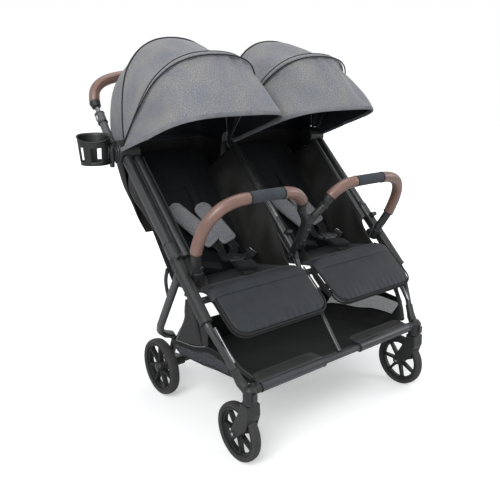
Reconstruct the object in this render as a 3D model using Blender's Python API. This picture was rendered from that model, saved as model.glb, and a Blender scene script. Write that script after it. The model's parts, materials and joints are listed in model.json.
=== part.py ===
"""Side-by-side double stroller, built piece by piece.

Metres, +Z up. The children look along -Y, +X is the left hand of someone sitting in it.
The stroller's own middle plane is x = 0 of the empty "stroller", which is shifted so that
the origin of the part is the middle of its footprint on the floor.
Each rigid body hangs from an empty that stands on the axis it turns or slides on.
"""
import math

import bmesh
import bpy
from mathutils import Matrix, Vector

# Clearances
GAP = 0.0004            # between faces that touch on the real stroller
RUN = 0.0006            # between a part and what it turns in or slides past

# Where the middle plane and the axles lie, seen from the middle of the footprint
MIDDLE_X = 0.0474
MIDDLE_Y = -0.1570

# Widths, built up from the middle plane outwards
CENTRE_HX = 0.0115      # half width of the centre tube
CENTRE_HALF = 0.0395    # middle plane to the inner edge of a seat
SEAT_HW = 0.140         # half width of a seat
WING_T = 0.0035         # cloth between seat and side frame
INNER_HX = 0.011        # seat tube beside the wing
TUBE_GAP = 0.007        # between the seat tube and the outer tube
TUBE_HX = 0.012
SEAT_X = CENTRE_HALF + SEAT_HW
INNER_X = SEAT_X + SEAT_HW + RUN + WING_T + GAP + INNER_HX
TUBE_X = INNER_X + INNER_HX + TUBE_GAP + TUBE_HX

# Wheels
FRONT_R = 0.078
FRONT_W = 0.026
REAR_R = 0.0865
REAR_W = 0.030
TYRE_DEPTH = 0.013      # from tread to rim seat
HUB_R = 0.014
AXLE_R = 0.0045
WEB_T = 0.010           # thickness of the spoke disc
WINDOWS = 7
WHEEL_SIDES = 24

# Castors
SWIVEL_X = TUBE_X - 0.047
SWIVEL_Y = -0.168
TRAIL = 0.045
SWIVEL_TOP = 0.180      # height of the joint between fork and bracket
CROWN_R = 0.0155
CROWN_H = 0.028
ARM_T = 0.005
ARM_GAP = 0.0016        # between tyre and fork arm
HOUSING_R = 0.0175
HOUSING_H = 0.044
LOCK_H = 0.0022
LOCK_LEN = 0.018
LOCK_HW = 0.006

# Rear frame
REAR_X = TUBE_X - 0.058
REAR_Y = 0.285
REAR_LEG_X = 0.0085     # half width of the flat oval leg
REAR_LEG_D = 0.012      # half depth of it
REAR_STUB_X = REAR_X - 0.0245   # middle of the leg's foot, inside the wheel
REAR_AXLE_R = 0.009
BRAKE_X = REAR_STUB_X - 0.0375
BRAKE_HW = 0.016
BRAKE_LEN = 0.056

# Side frame: a line from the fold joint up to the hubs, seen from the side
FOLD_Y = 0.076
FOLD_Z = 0.490
FRAME_ANGLE = 43.5
TUBE_HD = 0.015         # half depth of the outer tube
INNER_HD = 0.013
SLEEVE_HX = 0.0145      # half width and half depth of the moulded fold sleeves
SLEEVE_H = 0.0165
UPPER_SLEEVE = 0.045
LOWER_SLEEVE = 0.185
KNUCKLE_R = 0.007
LEG_R = 0.0085
CENTRE_LEG_R = 0.0065

# Hub, canopy pivot: it stands just under the end of the side frame's line
HUB_REACH = 0.3638      # from the fold joint along the line
HUB_DROP = 0.00745
FRAME_COS = math.cos(math.radians(FRAME_ANGLE))
FRAME_SIN = math.sin(math.radians(FRAME_ANGLE))
HUB_Y = FOLD_Y + HUB_REACH * FRAME_COS + HUB_DROP * FRAME_SIN
HUB_Z = FOLD_Z + HUB_REACH * FRAME_SIN - HUB_DROP * FRAME_COS
DISC_R = 0.032

# Handle
POST_R = 0.0115
POST_X = TUBE_X + 0.0075
POST_Y = HUB_Y + 0.030
POST_Z = HUB_Z
POST_ANGLE = 49.5
HUB_IN = INNER_X - INNER_HX - 0.0015
HUB_OUT = POST_X + POST_R
POST_START = 0.0205
ADJUSTER_R = 0.0132
ADJUSTER_START = 0.097
POST_END = 0.128
BORE_DEPTH = 0.098
HANDLE_R = 0.0068
HANDLE_IN = 0.095       # length of handle tube held inside the post
COLLAR_START = 0.150
GRIP_START = 0.170
GRIP_R = 0.015
BAR_Y = HUB_Y + 0.155
BAR_Z = HUB_Z + 0.205

# Bumper bars
BUMPER_Y = 0.030
BUMPER_Z = 0.447
BUMPER_ANGLE = 114.3
BUMPER_REACH = 0.230
BUMPER_R = 0.0155
SOCKET_R = 0.0125
BUMPER_X = TUBE_X - 0.008
BUMPER_INNER_X = 0.046
BUMPER_INNER_REACH = 0.174
YOKE_R = 0.010
MOUNT_HX = 0.014
MOUNT_HD = 0.015
BRANCH_R = 0.011

# Seats
PAN_T = 0.022
PAN_FRONT_Y = -0.002
PAN_FRONT_Z = 0.420
CALF_Y = -0.026
CALF_Z = 0.418
CALF_HW = SEAT_HW + 0.005
CALF_ANGLE = 216.8
CALF_LEN = 0.124
BACK_Y = 0.1802
BACK_Z = 0.3919
BACK_T = 0.026
BACK_ANGLE = 51.5
BACK_LEN = 0.400
CLOTH_T = 0.0025
WING_DROP = 0.070
WING_TOP = HUB_REACH - 0.0378
BUCKLE_Y = 0.045
BUCKLE_H = 0.042
PIN_LEN = 0.004

# Canopies
CANOPY_X = SEAT_X + 0.0005
CANOPY_HW = SEAT_HW + 0.0325    # half width over the rear cloth
CANOPY_H = 0.300        # reach of the rear hoop from the pivot
STEP = 0.0035           # each bow lies this much outside the one behind it
HOOD_T = 0.002
REAR_BOW = 88.0
MID_FROM = 86.5
MID_BOW = 129.5
FRONT_FROM = 128.0
FRONT_BOW = 161.0

# Foot end
CROSS_Y = -0.165
CROSS_Z = 0.210
CROSS_R = 0.009
SOCKET_IN = SWIVEL_X - 0.031    # inner end of the bracket's collar
SOCKET_WALL = 0.0035
PLATE_WRAP = 0.0042     # moulding round the tube
PLATE_T = 0.006
PLATE_REAR_Y = -0.108
PLATE_CORNER = 0.018
PLATE_IN = 0.070
PLATE_OUT = SOCKET_IN - 0.004
RAIL_R = 0.009

# Basket
BASKET_REAR_HW = REAR_STUB_X - 0.0265
BASKET_FRONT_HW = BASKET_REAR_HW + 0.020
BASKET_REAR_Y = 0.240
BASKET_FLOOR_FRONT = 0.190
BASKET_FLOOR_REAR = 0.142
BASKET_BEND_Y = 0.060   # where the floor's slope changes
BASKET_BEND_DROP = 0.028
BASKET_RIM_FRONT = 0.248
BASKET_RIM_REAR = 0.216
BASKET_DRAFT = 0.012    # the walls lean out by this much
BASKET_T = 0.003

# Cup holder
CUP_X = -HUB_OUT - 0.0505
CUP_Y = HUB_Y + 0.027
CUP_TOP = HUB_Z + 0.033
CUP_H = 0.098
CUP_R = 0.047
CUP_FOOT_R = 0.040
CUP_T = 0.0028

SIDES = (("left", -1), ("right", 1))
BODIES = {}


def clear_scene():
    for obj in list(bpy.data.objects):
        bpy.data.objects.remove(obj, do_unlink=True)


def material(name, colour, roughness, metallic=0.0):
    """One Principled material for each sub-part."""
    mat = bpy.data.materials.new(name)
    mat.use_nodes = True
    shader = mat.node_tree.nodes["Principled BSDF"]
    shader.inputs["Base Color"].default_value = (*colour, 1.0)
    shader.inputs["Roughness"].default_value = roughness
    shader.inputs["Metallic"].default_value = metallic
    mat.diffuse_color = (*colour, 1.0)
    return mat


FRAME_BLACK = ((0.035, 0.036, 0.038), 0.42, 0.6)
PLASTIC = ((0.030, 0.031, 0.033), 0.55)
RUBBER = ((0.020, 0.020, 0.021), 0.85)
SEAT_CLOTH = ((0.024, 0.027, 0.031), 0.92)
GREY_CLOTH = ((0.27, 0.28, 0.29), 0.95)
LEATHER = ((0.19, 0.085, 0.06), 0.5)
STEEL = ((0.55, 0.56, 0.58), 0.3, 1.0)


def make_body(name, parent, at):
    """An empty at a point of the stroller's own frame, for the pieces that move together."""
    empty = bpy.data.objects.new(name, None)
    empty.empty_display_size = 0.03
    bpy.context.collection.objects.link(empty)
    at = Vector(at)
    if parent is None:
        empty.location = at
        BODIES[name] = (empty, Vector((0.0, 0.0, 0.0)))
    else:
        holder, origin = BODIES[parent]
        empty.parent = holder
        empty.location = at - origin
        BODIES[name] = (empty, at)
    return empty


def place(name, bm, look, body, smooth=38.0, keep=False):
    """Turn a bmesh into a named object that hangs from its body's empty."""
    holder, origin = BODIES[body]
    if not keep:
        bmesh.ops.recalc_face_normals(bm, faces=bm.faces[:])
    bmesh.ops.translate(bm, vec=-origin, verts=bm.verts[:])
    mesh = bpy.data.meshes.new(name)
    bm.to_mesh(mesh)
    bm.free()
    mesh.shade_smooth()
    mesh.set_sharp_from_angle(angle=math.radians(smooth))
    obj = bpy.data.objects.new(name, mesh)
    bpy.context.collection.objects.link(obj)
    obj.parent = holder
    mesh.materials.append(material(name + "_finish", *look))
    return obj


def helper(name, bm, body):
    """A cutter or an added lump: not a piece of its own."""
    obj = place(name, bm, PLASTIC, body)
    obj.hide_render = True
    obj.display_type = "WIRE"
    return obj


def combine(target, tool, operation):
    mod = target.modifiers.new(operation.lower() + "_" + tool.name, "BOOLEAN")
    mod.operation = operation
    mod.solver = "EXACT"
    mod.object = tool


def turned(y, z, angle, along, up):
    """Point of the side view at (along, up) from (y, z), in axes turned up by angle."""
    a = math.radians(angle)
    return (y + along * math.cos(a) - up * math.sin(a), z + along * math.sin(a) + up * math.cos(a))


def on_frame(x, along, up=0.0):
    """Point beside the side frame's line, measured from the fold joint."""
    return Vector((x, *turned(FOLD_Y, FOLD_Z, FRAME_ANGLE, along, up)))


def on_post(x, along, up=0.0):
    return Vector((x, *turned(POST_Y, POST_Z, POST_ANGLE, along, up)))


def on_bumper(x, reach, up=0.0):
    return Vector((x, *turned(BUMPER_Y, BUMPER_Z, BUMPER_ANGLE, reach, up)))


def rounded_section(sides, power=2.6):
    """Unit outline between an ellipse and a rectangle."""
    points = []
    for i in range(sides):
        t = 2 * math.pi * (i + 0.5) / sides
        c, s = math.cos(t), math.sin(t)
        points.append((math.copysign(abs(c) ** (2 / power), c), math.copysign(abs(s) ** (2 / power), s)))
    return points


def frames_along(points, side_hint):
    """A matrix at each point: z along the path, x kept as near to side_hint as it can be."""
    out = []
    last = len(points) - 1
    for i, p in enumerate(points):
        tangent = (points[min(i + 1, last)] - points[max(i - 1, 0)]).normalized()
        x_axis = (side_hint - tangent * side_hint.dot(tangent)).normalized()
        y_axis = tangent.cross(x_axis)
        side_hint = x_axis
        out.append(Matrix.Translation(p) @ Matrix((x_axis, y_axis, tangent)).transposed().to_4x4())
    return out


def sweep(bm, points, sizes, sides=14, hint=(1, 0, 0), power=2.0):
    """Extrude an oval face along a path; sizes holds (half width, half depth) at each point."""
    frames = frames_along(points, Vector(hint))
    outline = rounded_section(sides, power)
    verts = [bm.verts.new(frames[0] @ Vector((u * sizes[0][0], v * sizes[0][1], 0))) for u, v in outline]
    face = bm.faces.new(verts)
    for i in range(1, len(points)):
        wide, deep = sizes[i][0] / sizes[i - 1][0], sizes[i][1] / sizes[i - 1][1]
        grow = Matrix.Diagonal((wide, deep, 1, 1))
        step = frames[i] @ grow @ frames[i - 1].inverted()
        made = bmesh.ops.extrude_face_region(bm, geom=[face])["geom"]
        if i > 1:
            bmesh.ops.delete(bm, geom=[face], context="FACES_ONLY")
        face = next(g for g in made if isinstance(g, bmesh.types.BMFace))
        bmesh.ops.transform(bm, matrix=step, verts=[g for g in made if isinstance(g, bmesh.types.BMVert)])


def smooth_path(points, per_span=4):
    """Catmull-Rom curve through the points."""
    pts = [Vector(p) for p in points]
    pts = [2 * pts[0] - pts[1]] + pts + [2 * pts[-1] - pts[-2]]
    out = []
    for i in range(1, len(pts) - 2):
        a, b, c, d = pts[i - 1:i + 3]
        for k in range(per_span):
            t = k / per_span
            out.append(0.5 * (2 * b + (c - a) * t + (2 * a - 5 * b + 4 * c - d) * t * t
                              + (3 * b - a - 3 * c + d) * t ** 3))
    return out + [pts[-2]]


def lathe(bm, profile, centre, axis, sides):
    """Spin a closed profile of (radius, height) pairs about an axis."""
    turn = Vector((0, 0, 1)).rotation_difference(Vector(axis)).to_matrix().to_4x4()
    base = Matrix.Translation(Vector(centre)) @ turn
    verts = [bm.verts.new(base @ Vector((0, -r, h))) for r, h in profile]
    edges = []
    for i in range(len(verts)):
        j = (i + 1) % len(verts)
        if profile[i][0] + profile[j][0] > 0:
            edges.append(bm.edges.new((verts[i], verts[j])))
    bmesh.ops.spin(bm, geom=verts + edges, cent=centre, axis=axis, angle=2 * math.pi,
                   steps=sides, use_merge=True)
    bmesh.ops.remove_doubles(bm, verts=bm.verts[:], dist=1e-6)


def slab(bm, outline, x0, x1, bevel=0.0):
    """Extrude an outline of the side view from x0 to x1 and round its rims."""
    face = bm.faces.new([bm.verts.new((x0, y, z)) for y, z in outline])
    made = bmesh.ops.extrude_face_region(bm, geom=[face])["geom"]
    bmesh.ops.translate(bm, vec=(x1 - x0, 0, 0), verts=[g for g in made if isinstance(g, bmesh.types.BMVert)])
    if bevel:
        rims = [e for e in bm.edges if abs(e.verts[0].co.x - e.verts[1].co.x) < 1e-7]
        bmesh.ops.bevel(bm, geom=rims, offset=bevel, segments=2, profile=0.5, affect="EDGES")


def capsule(y, z, angle, length, half, steps=6):
    """Outline with a round end at (y, z) and another at length along angle."""
    points = []
    for end, start in ((length, -90), (0.0, 90)):
        for i in range(steps + 1):
            t = math.radians(start + 180 * i / steps)
            points.append(turned(y, z, angle, end + half * math.cos(t), half * math.sin(t)))
    return points


def sheet(bm, rows):
    """Cloth between rows of points, one quad between each pair."""
    grid = [[bm.verts.new(p) for p in row] for row in rows]
    for a, b in zip(grid, grid[1:]):
        for i in range(len(a) - 1):
            bm.faces.new((a[i], a[i + 1], b[i + 1], b[i]))


def thicken(obj, thickness, offset):
    mod = obj.modifiers.new("cloth_thickness", "SOLIDIFY")
    mod.thickness = thickness
    mod.offset = offset
    mod.use_even_offset = True


def build_bodies():
    make_body("stroller", None, (MIDDLE_X, MIDDLE_Y, 0))
    knuckle = on_frame(0, 0, SLEEVE_H + KNUCKLE_R + GAP)
    make_body("lower_frame", "stroller", (0, 0, 0))
    make_body("upper_frame", "lower_frame", knuckle)
    make_body("rear_frame", "lower_frame", rear_pivot(0))
    make_body("bumper_bars", "lower_frame", (0, BUMPER_Y, BUMPER_Z))
    make_body("handle", "upper_frame", on_post(0, POST_END))
    make_body("brake", "rear_frame", (-BRAKE_X, REAR_Y, REAR_R))
    make_body("cup", "upper_frame", (CUP_X, CUP_Y, CUP_TOP - CUP_H))
    for side, sx in SIDES:
        make_body("castor_" + side, "lower_frame", (sx * SWIVEL_X, SWIVEL_Y, SWIVEL_TOP))
        make_body("front_wheel_" + side, "castor_" + side, (sx * SWIVEL_X, SWIVEL_Y + TRAIL, FRONT_R))
        make_body("rear_wheel_" + side, "rear_frame", (sx * REAR_X, REAR_Y, REAR_R))
        make_body("lock_" + side, "lower_frame", lock_place(sx))
        make_body("calf_" + side, "lower_frame", (sx * SEAT_X, CALF_Y, CALF_Z))
        make_body("back_" + side, "upper_frame", (sx * SEAT_X, BACK_Y, BACK_Z))
        make_body("mid_bow_" + side, "upper_frame", (sx * CANOPY_X, HUB_Y, HUB_Z))
        make_body("front_bow_" + side, "upper_frame", (sx * CANOPY_X, HUB_Y, HUB_Z))


def rear_pivot(x):
    """Centre of the rear leg's top pin, under the lower sleeve."""
    return on_frame(x, -0.035, -(SLEEVE_H + REAR_LEG_D + GAP))


def lock_place(sx):
    return (sx * SWIVEL_X, SWIVEL_Y - HOUSING_R - LOCK_H - GAP, SWIVEL_TOP + 0.030)


def barrel(name, body, x0, x1, ahead):
    """One hinge barrel in front of a sleeve, with a web down to the moulding."""
    middle = SLEEVE_H + KNUCKLE_R + GAP
    inset = 4 * GAP
    points = []
    for i in range(10):
        t = math.radians(30 * i)
        points.append((KNUCKLE_R * math.cos(t), middle + KNUCKLE_R * math.sin(t)))
    points += [(inset, SLEEVE_H + GAP), (inset, SLEEVE_H - 0.004), (KNUCKLE_R, SLEEVE_H - 0.004)]
    outline = [tuple(on_frame(0, a * ahead, u))[1:] for a, u in points]
    bm = bmesh.new()
    slab(bm, outline, x0, x1)
    return helper(name, bm, body)


def knuckle(obj, body, x, half, upper):
    """Lower sleeves carry the middle barrel, upper sleeves the two beside it."""
    name = obj.name + "_barrel"
    third = half / 3
    if upper:
        for i, sign in enumerate((-1, 1)):
            a, b = sorted((x + sign * (third + RUN), x + sign * half))
            combine(obj, barrel(name + str(i), body, a, b, 1), "UNION")
    else:
        combine(obj, barrel(name, body, x - third, x + third, -1), "UNION")


def build_lower_frame():
    for side, sx in SIDES:
        x = sx * TUBE_X
        bm = bmesh.new()
        sweep(bm, [on_frame(x, -GAP), on_frame(x, -0.02), on_frame(x, -LOWER_SLEEVE)],
              [(SLEEVE_HX, SLEEVE_H)] * 3, 16, power=2.6)
        obj = place("leg_sleeve_" + side, bm, PLASTIC, "lower_frame")
        knuckle(obj, "lower_frame", x, 0.009, False)

        bm = bmesh.new()
        path = [on_frame(x, -LOWER_SLEEVE - 0.010), (sx * (TUBE_X - 0.007), SWIVEL_Y + 0.0845, SWIVEL_TOP + 0.150),
                (sx * (TUBE_X - 0.0185), SWIVEL_Y + 0.062, SWIVEL_TOP + 0.1145),
                (sx * (TUBE_X - 0.0285), SWIVEL_Y + 0.0415, SWIVEL_TOP + 0.0795)]
        path = [on_frame(x, -LOWER_SLEEVE - GAP)] + smooth_path(path, 2)
        sweep(bm, path, [(LEG_R, LEG_R)] * len(path), 14)
        place("front_leg_" + side, bm, FRAME_BLACK, "lower_frame")

        end, before = path[-1], path[-2]
        way = (end - before).normalized()
        start = end + way * GAP
        top = Vector((sx * SWIVEL_X, SWIVEL_Y, SWIVEL_TOP + HOUSING_H))
        bm = bmesh.new()
        arm = [start, start + way * 0.02, start + way * 0.036, top - Vector((0, 0, 0.018))]
        sweep(bm, arm, [(0.0108, 0.0108), (0.0108, 0.0108), (0.0125, 0.0125), (0.013, 0.013)], 16)
        obj = place("castor_bracket_" + side, bm, PLASTIC, "lower_frame")
        bm = bmesh.new()
        lathe(bm, [(0, 0), (HOUSING_R - 0.001, 0), (HOUSING_R, 0.001), (HOUSING_R, HOUSING_H - 0.006),
                   (HOUSING_R - 0.006, HOUSING_H), (0, HOUSING_H)],
              (sx * SWIVEL_X, SWIVEL_Y, SWIVEL_TOP + GAP), (0, 0, 1), 20)
        combine(obj, helper(obj.name + "_housing", bm, "lower_frame"), "UNION")
        bm = bmesh.new()
        lathe(bm, [(0, 0), (CROSS_R + SOCKET_WALL, 0), (CROSS_R + SOCKET_WALL, 0.020), (0, 0.020)],
              (sx * SOCKET_IN, CROSS_Y, CROSS_Z), (sx, 0, 0), 16)
        combine(obj, helper(obj.name + "_collar", bm, "lower_frame"), "UNION")

        build_footrest(side, sx)
        build_seat(side, sx)

    bm = bmesh.new()
    half = SOCKET_IN - GAP
    lathe(bm, [(0, -half), (CROSS_R, -half), (CROSS_R, half), (0, half)], (0, CROSS_Y, CROSS_Z), (1, 0, 0), 18)
    place("front_cross_tube", bm, FRAME_BLACK, "lower_frame")

    build_centre_leg()
    build_basket()


def build_footrest(side, sx):
    outer = CROSS_R + PLATE_WRAP
    inner = CROSS_R + GAP
    under = outer - PLATE_T
    points = []
    for i in range(9):
        t = math.radians(90 + 210 * i / 8)
        points.append((CROSS_Y + outer * math.cos(t), CROSS_Z + outer * math.sin(t)))
    last = math.degrees(math.asin(under / inner))
    for i in range(9):
        t = math.radians(300 + (last - 300) * i / 8)
        points.append((CROSS_Y + inner * math.cos(t), CROSS_Z + inner * math.sin(t)))
    points.append((PLATE_REAR_Y, CROSS_Z + under))
    points.append((PLATE_REAR_Y, CROSS_Z + outer))
    bm = bmesh.new()
    slab(bm, points, sx * PLATE_IN, sx * PLATE_OUT)
    rear = [e for e in bm.edges if all(abs(v.co.y - PLATE_REAR_Y) < 1e-6 for v in e.verts)
            and abs(e.verts[0].co.x - e.verts[1].co.x) < 1e-6]
    bmesh.ops.bevel(bm, geom=rear, offset=PLATE_CORNER, segments=4, profile=0.5, affect="EDGES")
    place("footrest_" + side, bm, PLASTIC, "lower_frame")


def build_seat(side, sx):
    half = PAN_T / 2
    rear_y = BACK_Y - BACK_T / 2 - 2 * RUN - half
    length = math.hypot(rear_y - PAN_FRONT_Y, 0.0300)
    tilt = -math.degrees(math.atan2(0.0300, rear_y - PAN_FRONT_Y))
    bm = bmesh.new()
    slab(bm, capsule(PAN_FRONT_Y, PAN_FRONT_Z, tilt, length, half, 8), sx * SEAT_X - SEAT_HW, sx * SEAT_X + SEAT_HW,
         0.006)
    place("seat_pan_" + side, bm, SEAT_CLOTH, "lower_frame")

    bm = bmesh.new()
    slab(bm, capsule(CALF_Y, CALF_Z, CALF_ANGLE, CALF_LEN, half - 0.0002, 8), sx * SEAT_X - CALF_HW,
         sx * SEAT_X + CALF_HW, 0.006)
    place("calf_rest_" + side, bm, SEAT_CLOTH, "calf_" + side)

    down = math.tan(math.radians(tilt))
    base = PAN_FRONT_Z + (BUCKLE_Y - PAN_FRONT_Y) * down + half / math.cos(math.radians(tilt)) + 2 * GAP
    bm = bmesh.new()
    path = smooth_path([(sx * SEAT_X, BUCKLE_Y + 0.012, base), (sx * SEAT_X, BUCKLE_Y, base + 0.018),
                        (sx * SEAT_X, BUCKLE_Y + 0.010, base + BUCKLE_H)], 3)
    sizes = [(0.016, 0.0035)] * 3 + [(0.024, 0.006)] * (len(path) - 3)
    sweep(bm, path, sizes, 12, power=3.5)
    obj = place("harness_" + side, bm, PLASTIC, "lower_frame")
    bm = bmesh.new()
    slab(bm, capsule(BUCKLE_Y - 0.012, base + 0.0015 - 0.012 * down + GAP, tilt, 0.040, 0.0015),
         sx * SEAT_X - 0.016, sx * SEAT_X + 0.016)
    combine(obj, helper(obj.name + "_foot", bm, "lower_frame"), "UNION")


def build_centre_leg():
    top = on_frame(0, -GAP)
    low = on_frame(0, -0.060)
    neck = Vector((0, BUMPER_Y - 0.0075, BUMPER_Z - 0.0136))
    cross = Vector((0, CROSS_Y, CROSS_Z))
    way = Vector((0, -0.7071, -0.7071))
    path = [top, on_frame(0, -0.02), low, neck, (0, BUMPER_Y - 0.0295, BUMPER_Z - 0.0545),
            (0, BUMPER_Y - 0.0715, BUMPER_Z - 0.0985), (0, CROSS_Y + 0.082, CROSS_Z + 0.095),
            (0, CROSS_Y + 0.042, CROSS_Z + 0.0455), cross - way * 0.020, cross - way * (CROSS_R + GAP)]
    fat = (CENTRE_HX, SLEEVE_H - 0.001)
    thin = (CENTRE_LEG_R, CENTRE_LEG_R)
    path = [Vector(p) for p in path]
    bm = bmesh.new()
    sweep(bm, path, [fat, fat, fat, (0.0075, 0.0075)] + [thin] * (len(path) - 4), 14)
    obj = place("centre_leg", bm, FRAME_BLACK, "lower_frame")
    knuckle(obj, "lower_frame", 0, 0.009, False)

    bm = bmesh.new()
    end = TUBE_X - SLEEVE_HX - GAP
    y, z = seat_rail_line()
    lathe(bm, [(0, -end), (RAIL_R, -end), (RAIL_R, end), (0, end)], (0, y, z), (1, 0, 0), 16)
    place("seat_rail", bm, FRAME_BLACK, "lower_frame")


def seat_rail_line():
    """The rail nestles under the seam and carries both seat pan and calf rest."""
    reach = PAN_T / 2 + RAIL_R + 0.0002
    dy, dz = PAN_FRONT_Y - CALF_Y, PAN_FRONT_Z - CALF_Z
    span = math.hypot(dy, dz)
    drop = math.sqrt(reach ** 2 - (span / 2) ** 2)
    return ((PAN_FRONT_Y + CALF_Y) / 2 + drop * dz / span, (PAN_FRONT_Z + CALF_Z) / 2 - drop * dy / span)


def build_basket():
    front_y = PLATE_REAR_Y + GAP
    bend_z = BASKET_FLOOR_FRONT - BASKET_BEND_DROP
    plan = [(-BASKET_FRONT_HW, front_y, BASKET_FLOOR_FRONT), (BASKET_FRONT_HW, front_y, BASKET_FLOOR_FRONT),
            (BASKET_REAR_HW, BASKET_BEND_Y, bend_z), (BASKET_REAR_HW, BASKET_REAR_Y, BASKET_FLOOR_REAR),
            (-BASKET_REAR_HW, BASKET_REAR_Y, BASKET_FLOOR_REAR), (-BASKET_REAR_HW, BASKET_BEND_Y, bend_z)]
    bm = bmesh.new()
    floor = [bm.verts.new(p) for p in plan]
    bm.faces.new((floor[0], floor[1], floor[2], floor[5]))
    bm.faces.new((floor[5], floor[2], floor[3], floor[4]))
    rim = []
    for x, y, z in plan:
        t = (y - front_y) / (BASKET_REAR_Y - front_y)
        out_x = math.copysign(BASKET_DRAFT, x)
        out_y = BASKET_DRAFT if t > 0.9 else 0
        height = BASKET_RIM_FRONT + (BASKET_RIM_REAR - BASKET_RIM_FRONT) * min(1, t * 1.15)
        rim.append(bm.verts.new((x + out_x, y + out_y, height)))
    for i in range(6):
        j = (i + 1) % 6
        bm.faces.new((floor[i], floor[j], rim[j], rim[i]))
    bmesh.ops.recalc_face_normals(bm, faces=bm.faces[:])
    obj = place("basket", bm, SEAT_CLOTH, "lower_frame")
    thicken(obj, BASKET_T, -1)


def build_upper_frame():
    reach = HUB_REACH
    for side, sx in SIDES:
        x = sx * TUBE_X
        sleeve = (SLEEVE_HX, SLEEVE_H)
        tube = (TUBE_HX, TUBE_HD)
        bm = bmesh.new()
        sweep(bm, [on_frame(x, GAP), on_frame(x, 0.02), on_frame(x, UPPER_SLEEVE), on_frame(x, UPPER_SLEEVE + 0.015),
                   on_frame(x, reach - DISC_R - GAP)], [sleeve, sleeve, sleeve, tube, tube], 16, power=2.4)
        obj = place("main_tube_" + side, bm, FRAME_BLACK, "upper_frame")
        knuckle(obj, "upper_frame", x, 0.009, True)

        bm = bmesh.new()
        x = sx * INNER_X
        sweep(bm, [on_frame(x, 4 * RUN), on_frame(x, reach - DISC_R - GAP)], [(INNER_HX, INNER_HD)] * 2, 14)
        place("inner_tube_" + side, bm, FRAME_BLACK, "upper_frame")

        bm = bmesh.new()
        width = HUB_OUT - HUB_IN
        lathe(bm, [(0, 0), (DISC_R - 0.003, 0), (DISC_R, 0.003), (DISC_R, width - 0.003), (DISC_R - 0.003, width),
                   (0, width)], (sx * HUB_IN, HUB_Y, HUB_Z), (sx, 0, 0), 28)
        obj = place("hub_" + side, bm, PLASTIC, "upper_frame")
        bm = bmesh.new()
        x = sx * POST_X
        sweep(bm, [on_post(x, -0.022), on_post(x, POST_START - GAP)], [(POST_R, 0.0145)] * 2, 14)
        combine(obj, helper(obj.name + "_socket", bm, "upper_frame"), "UNION")

        bm = bmesh.new()
        turn = Vector(on_post(0, 1) - on_post(0, 0))
        bore = HANDLE_R + RUN
        lathe(bm, [(0, 0), (POST_R, 0), (POST_R, ADJUSTER_START - POST_START),
                   (ADJUSTER_R, ADJUSTER_START - POST_START + 0.002), (ADJUSTER_R, POST_END - POST_START - 0.002),
                   (ADJUSTER_R - 0.002, POST_END - POST_START), (bore, POST_END - POST_START),
                   (bore, POST_END - POST_START - BORE_DEPTH), (0, POST_END - POST_START - BORE_DEPTH)],
              on_post(x, POST_START), turn, 18)
        place("handle_post_" + side, bm, PLASTIC, "upper_frame")

        build_back(side, sx)
        build_canopy(side, sx)

    bm = bmesh.new()
    thin = (CENTRE_HX, TUBE_HD)
    fat = (CENTRE_HX, SLEEVE_H - 0.001)
    sweep(bm, [on_frame(0, GAP), on_frame(0, UPPER_SLEEVE), on_frame(0, UPPER_SLEEVE + 0.01), on_frame(0, reach)],
          [fat, fat, thin, thin], 14)
    obj = place("centre_tube", bm, FRAME_BLACK, "upper_frame")
    knuckle(obj, "upper_frame", 0, 0.009, True)
    build_centre_wing(reach)


def back_point(x, along, up=0.0):
    return Vector((x, *turned(BACK_Y, BACK_Z, BACK_ANGLE, along, up)))


def build_back(side, sx):
    half = BACK_T / 2
    bm = bmesh.new()
    slab(bm, capsule(BACK_Y, BACK_Z, BACK_ANGLE, BACK_LEN, half), sx * SEAT_X - SEAT_HW, sx * SEAT_X + SEAT_HW, 0.006)
    place("backrest_" + side, bm, SEAT_CLOTH, "back_" + side)

    wing_in = SEAT_X + SEAT_HW + RUN
    wing_out = INNER_X - INNER_HX - GAP
    outline = [on_frame(0, 0.012, INNER_HD * 0.6), on_frame(0, 0.020, -WING_DROP), back_point(0, -0.006, -0.004),
               back_point(0, 0.06, -half), back_point(0, BACK_LEN * 0.86, -half), on_frame(0, WING_TOP, -0.012),
               on_frame(0, WING_TOP, INNER_HD * 0.6)]
    bm = bmesh.new()
    slab(bm, [tuple(p)[1:] for p in outline], sx * wing_in, sx * wing_out)
    place("side_wing_" + side, bm, SEAT_CLOTH, "upper_frame")


def build_centre_wing(reach):
    """One cloth over the centre tube that falls to the inner edge of both seats."""
    outer = SEAT_X - SEAT_HW - RUN
    rows = []
    for along, low in ((0.062, 0.010), (0.12, 0.09), (0.20, 0.18), (0.28, 0.27), (reach - 0.0288, 0.335)):
        foot = back_point(0, low, BACK_T / 2)
        crest = on_frame(0, along, TUBE_HD + GAP)
        shoulder = on_frame(0, along, 0.0)
        row = [(-outer, foot.y, foot.z), (-outer, (foot.y + shoulder.y) / 2, (foot.z + shoulder.z) / 2),
               (-CENTRE_HX - 0.008, shoulder.y, shoulder.z), (-CENTRE_HX, crest.y, crest.z),
               (CENTRE_HX, crest.y, crest.z), (CENTRE_HX + 0.008, shoulder.y, shoulder.z),
               (outer, (foot.y + shoulder.y) / 2, (foot.z + shoulder.z) / 2), (outer, foot.y, foot.z)]
        rows.append(row)
    bm = bmesh.new()
    sheet(bm, rows)
    bmesh.ops.recalc_face_normals(bm, faces=bm.faces[:])
    if sum(f.normal.z for f in bm.faces) < 0:
        bmesh.ops.reverse_faces(bm, faces=bm.faces[:])
    obj = place("centre_wing", bm, SEAT_CLOTH, "upper_frame", keep=True)
    thicken(obj, CLOTH_T, 1)


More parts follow.
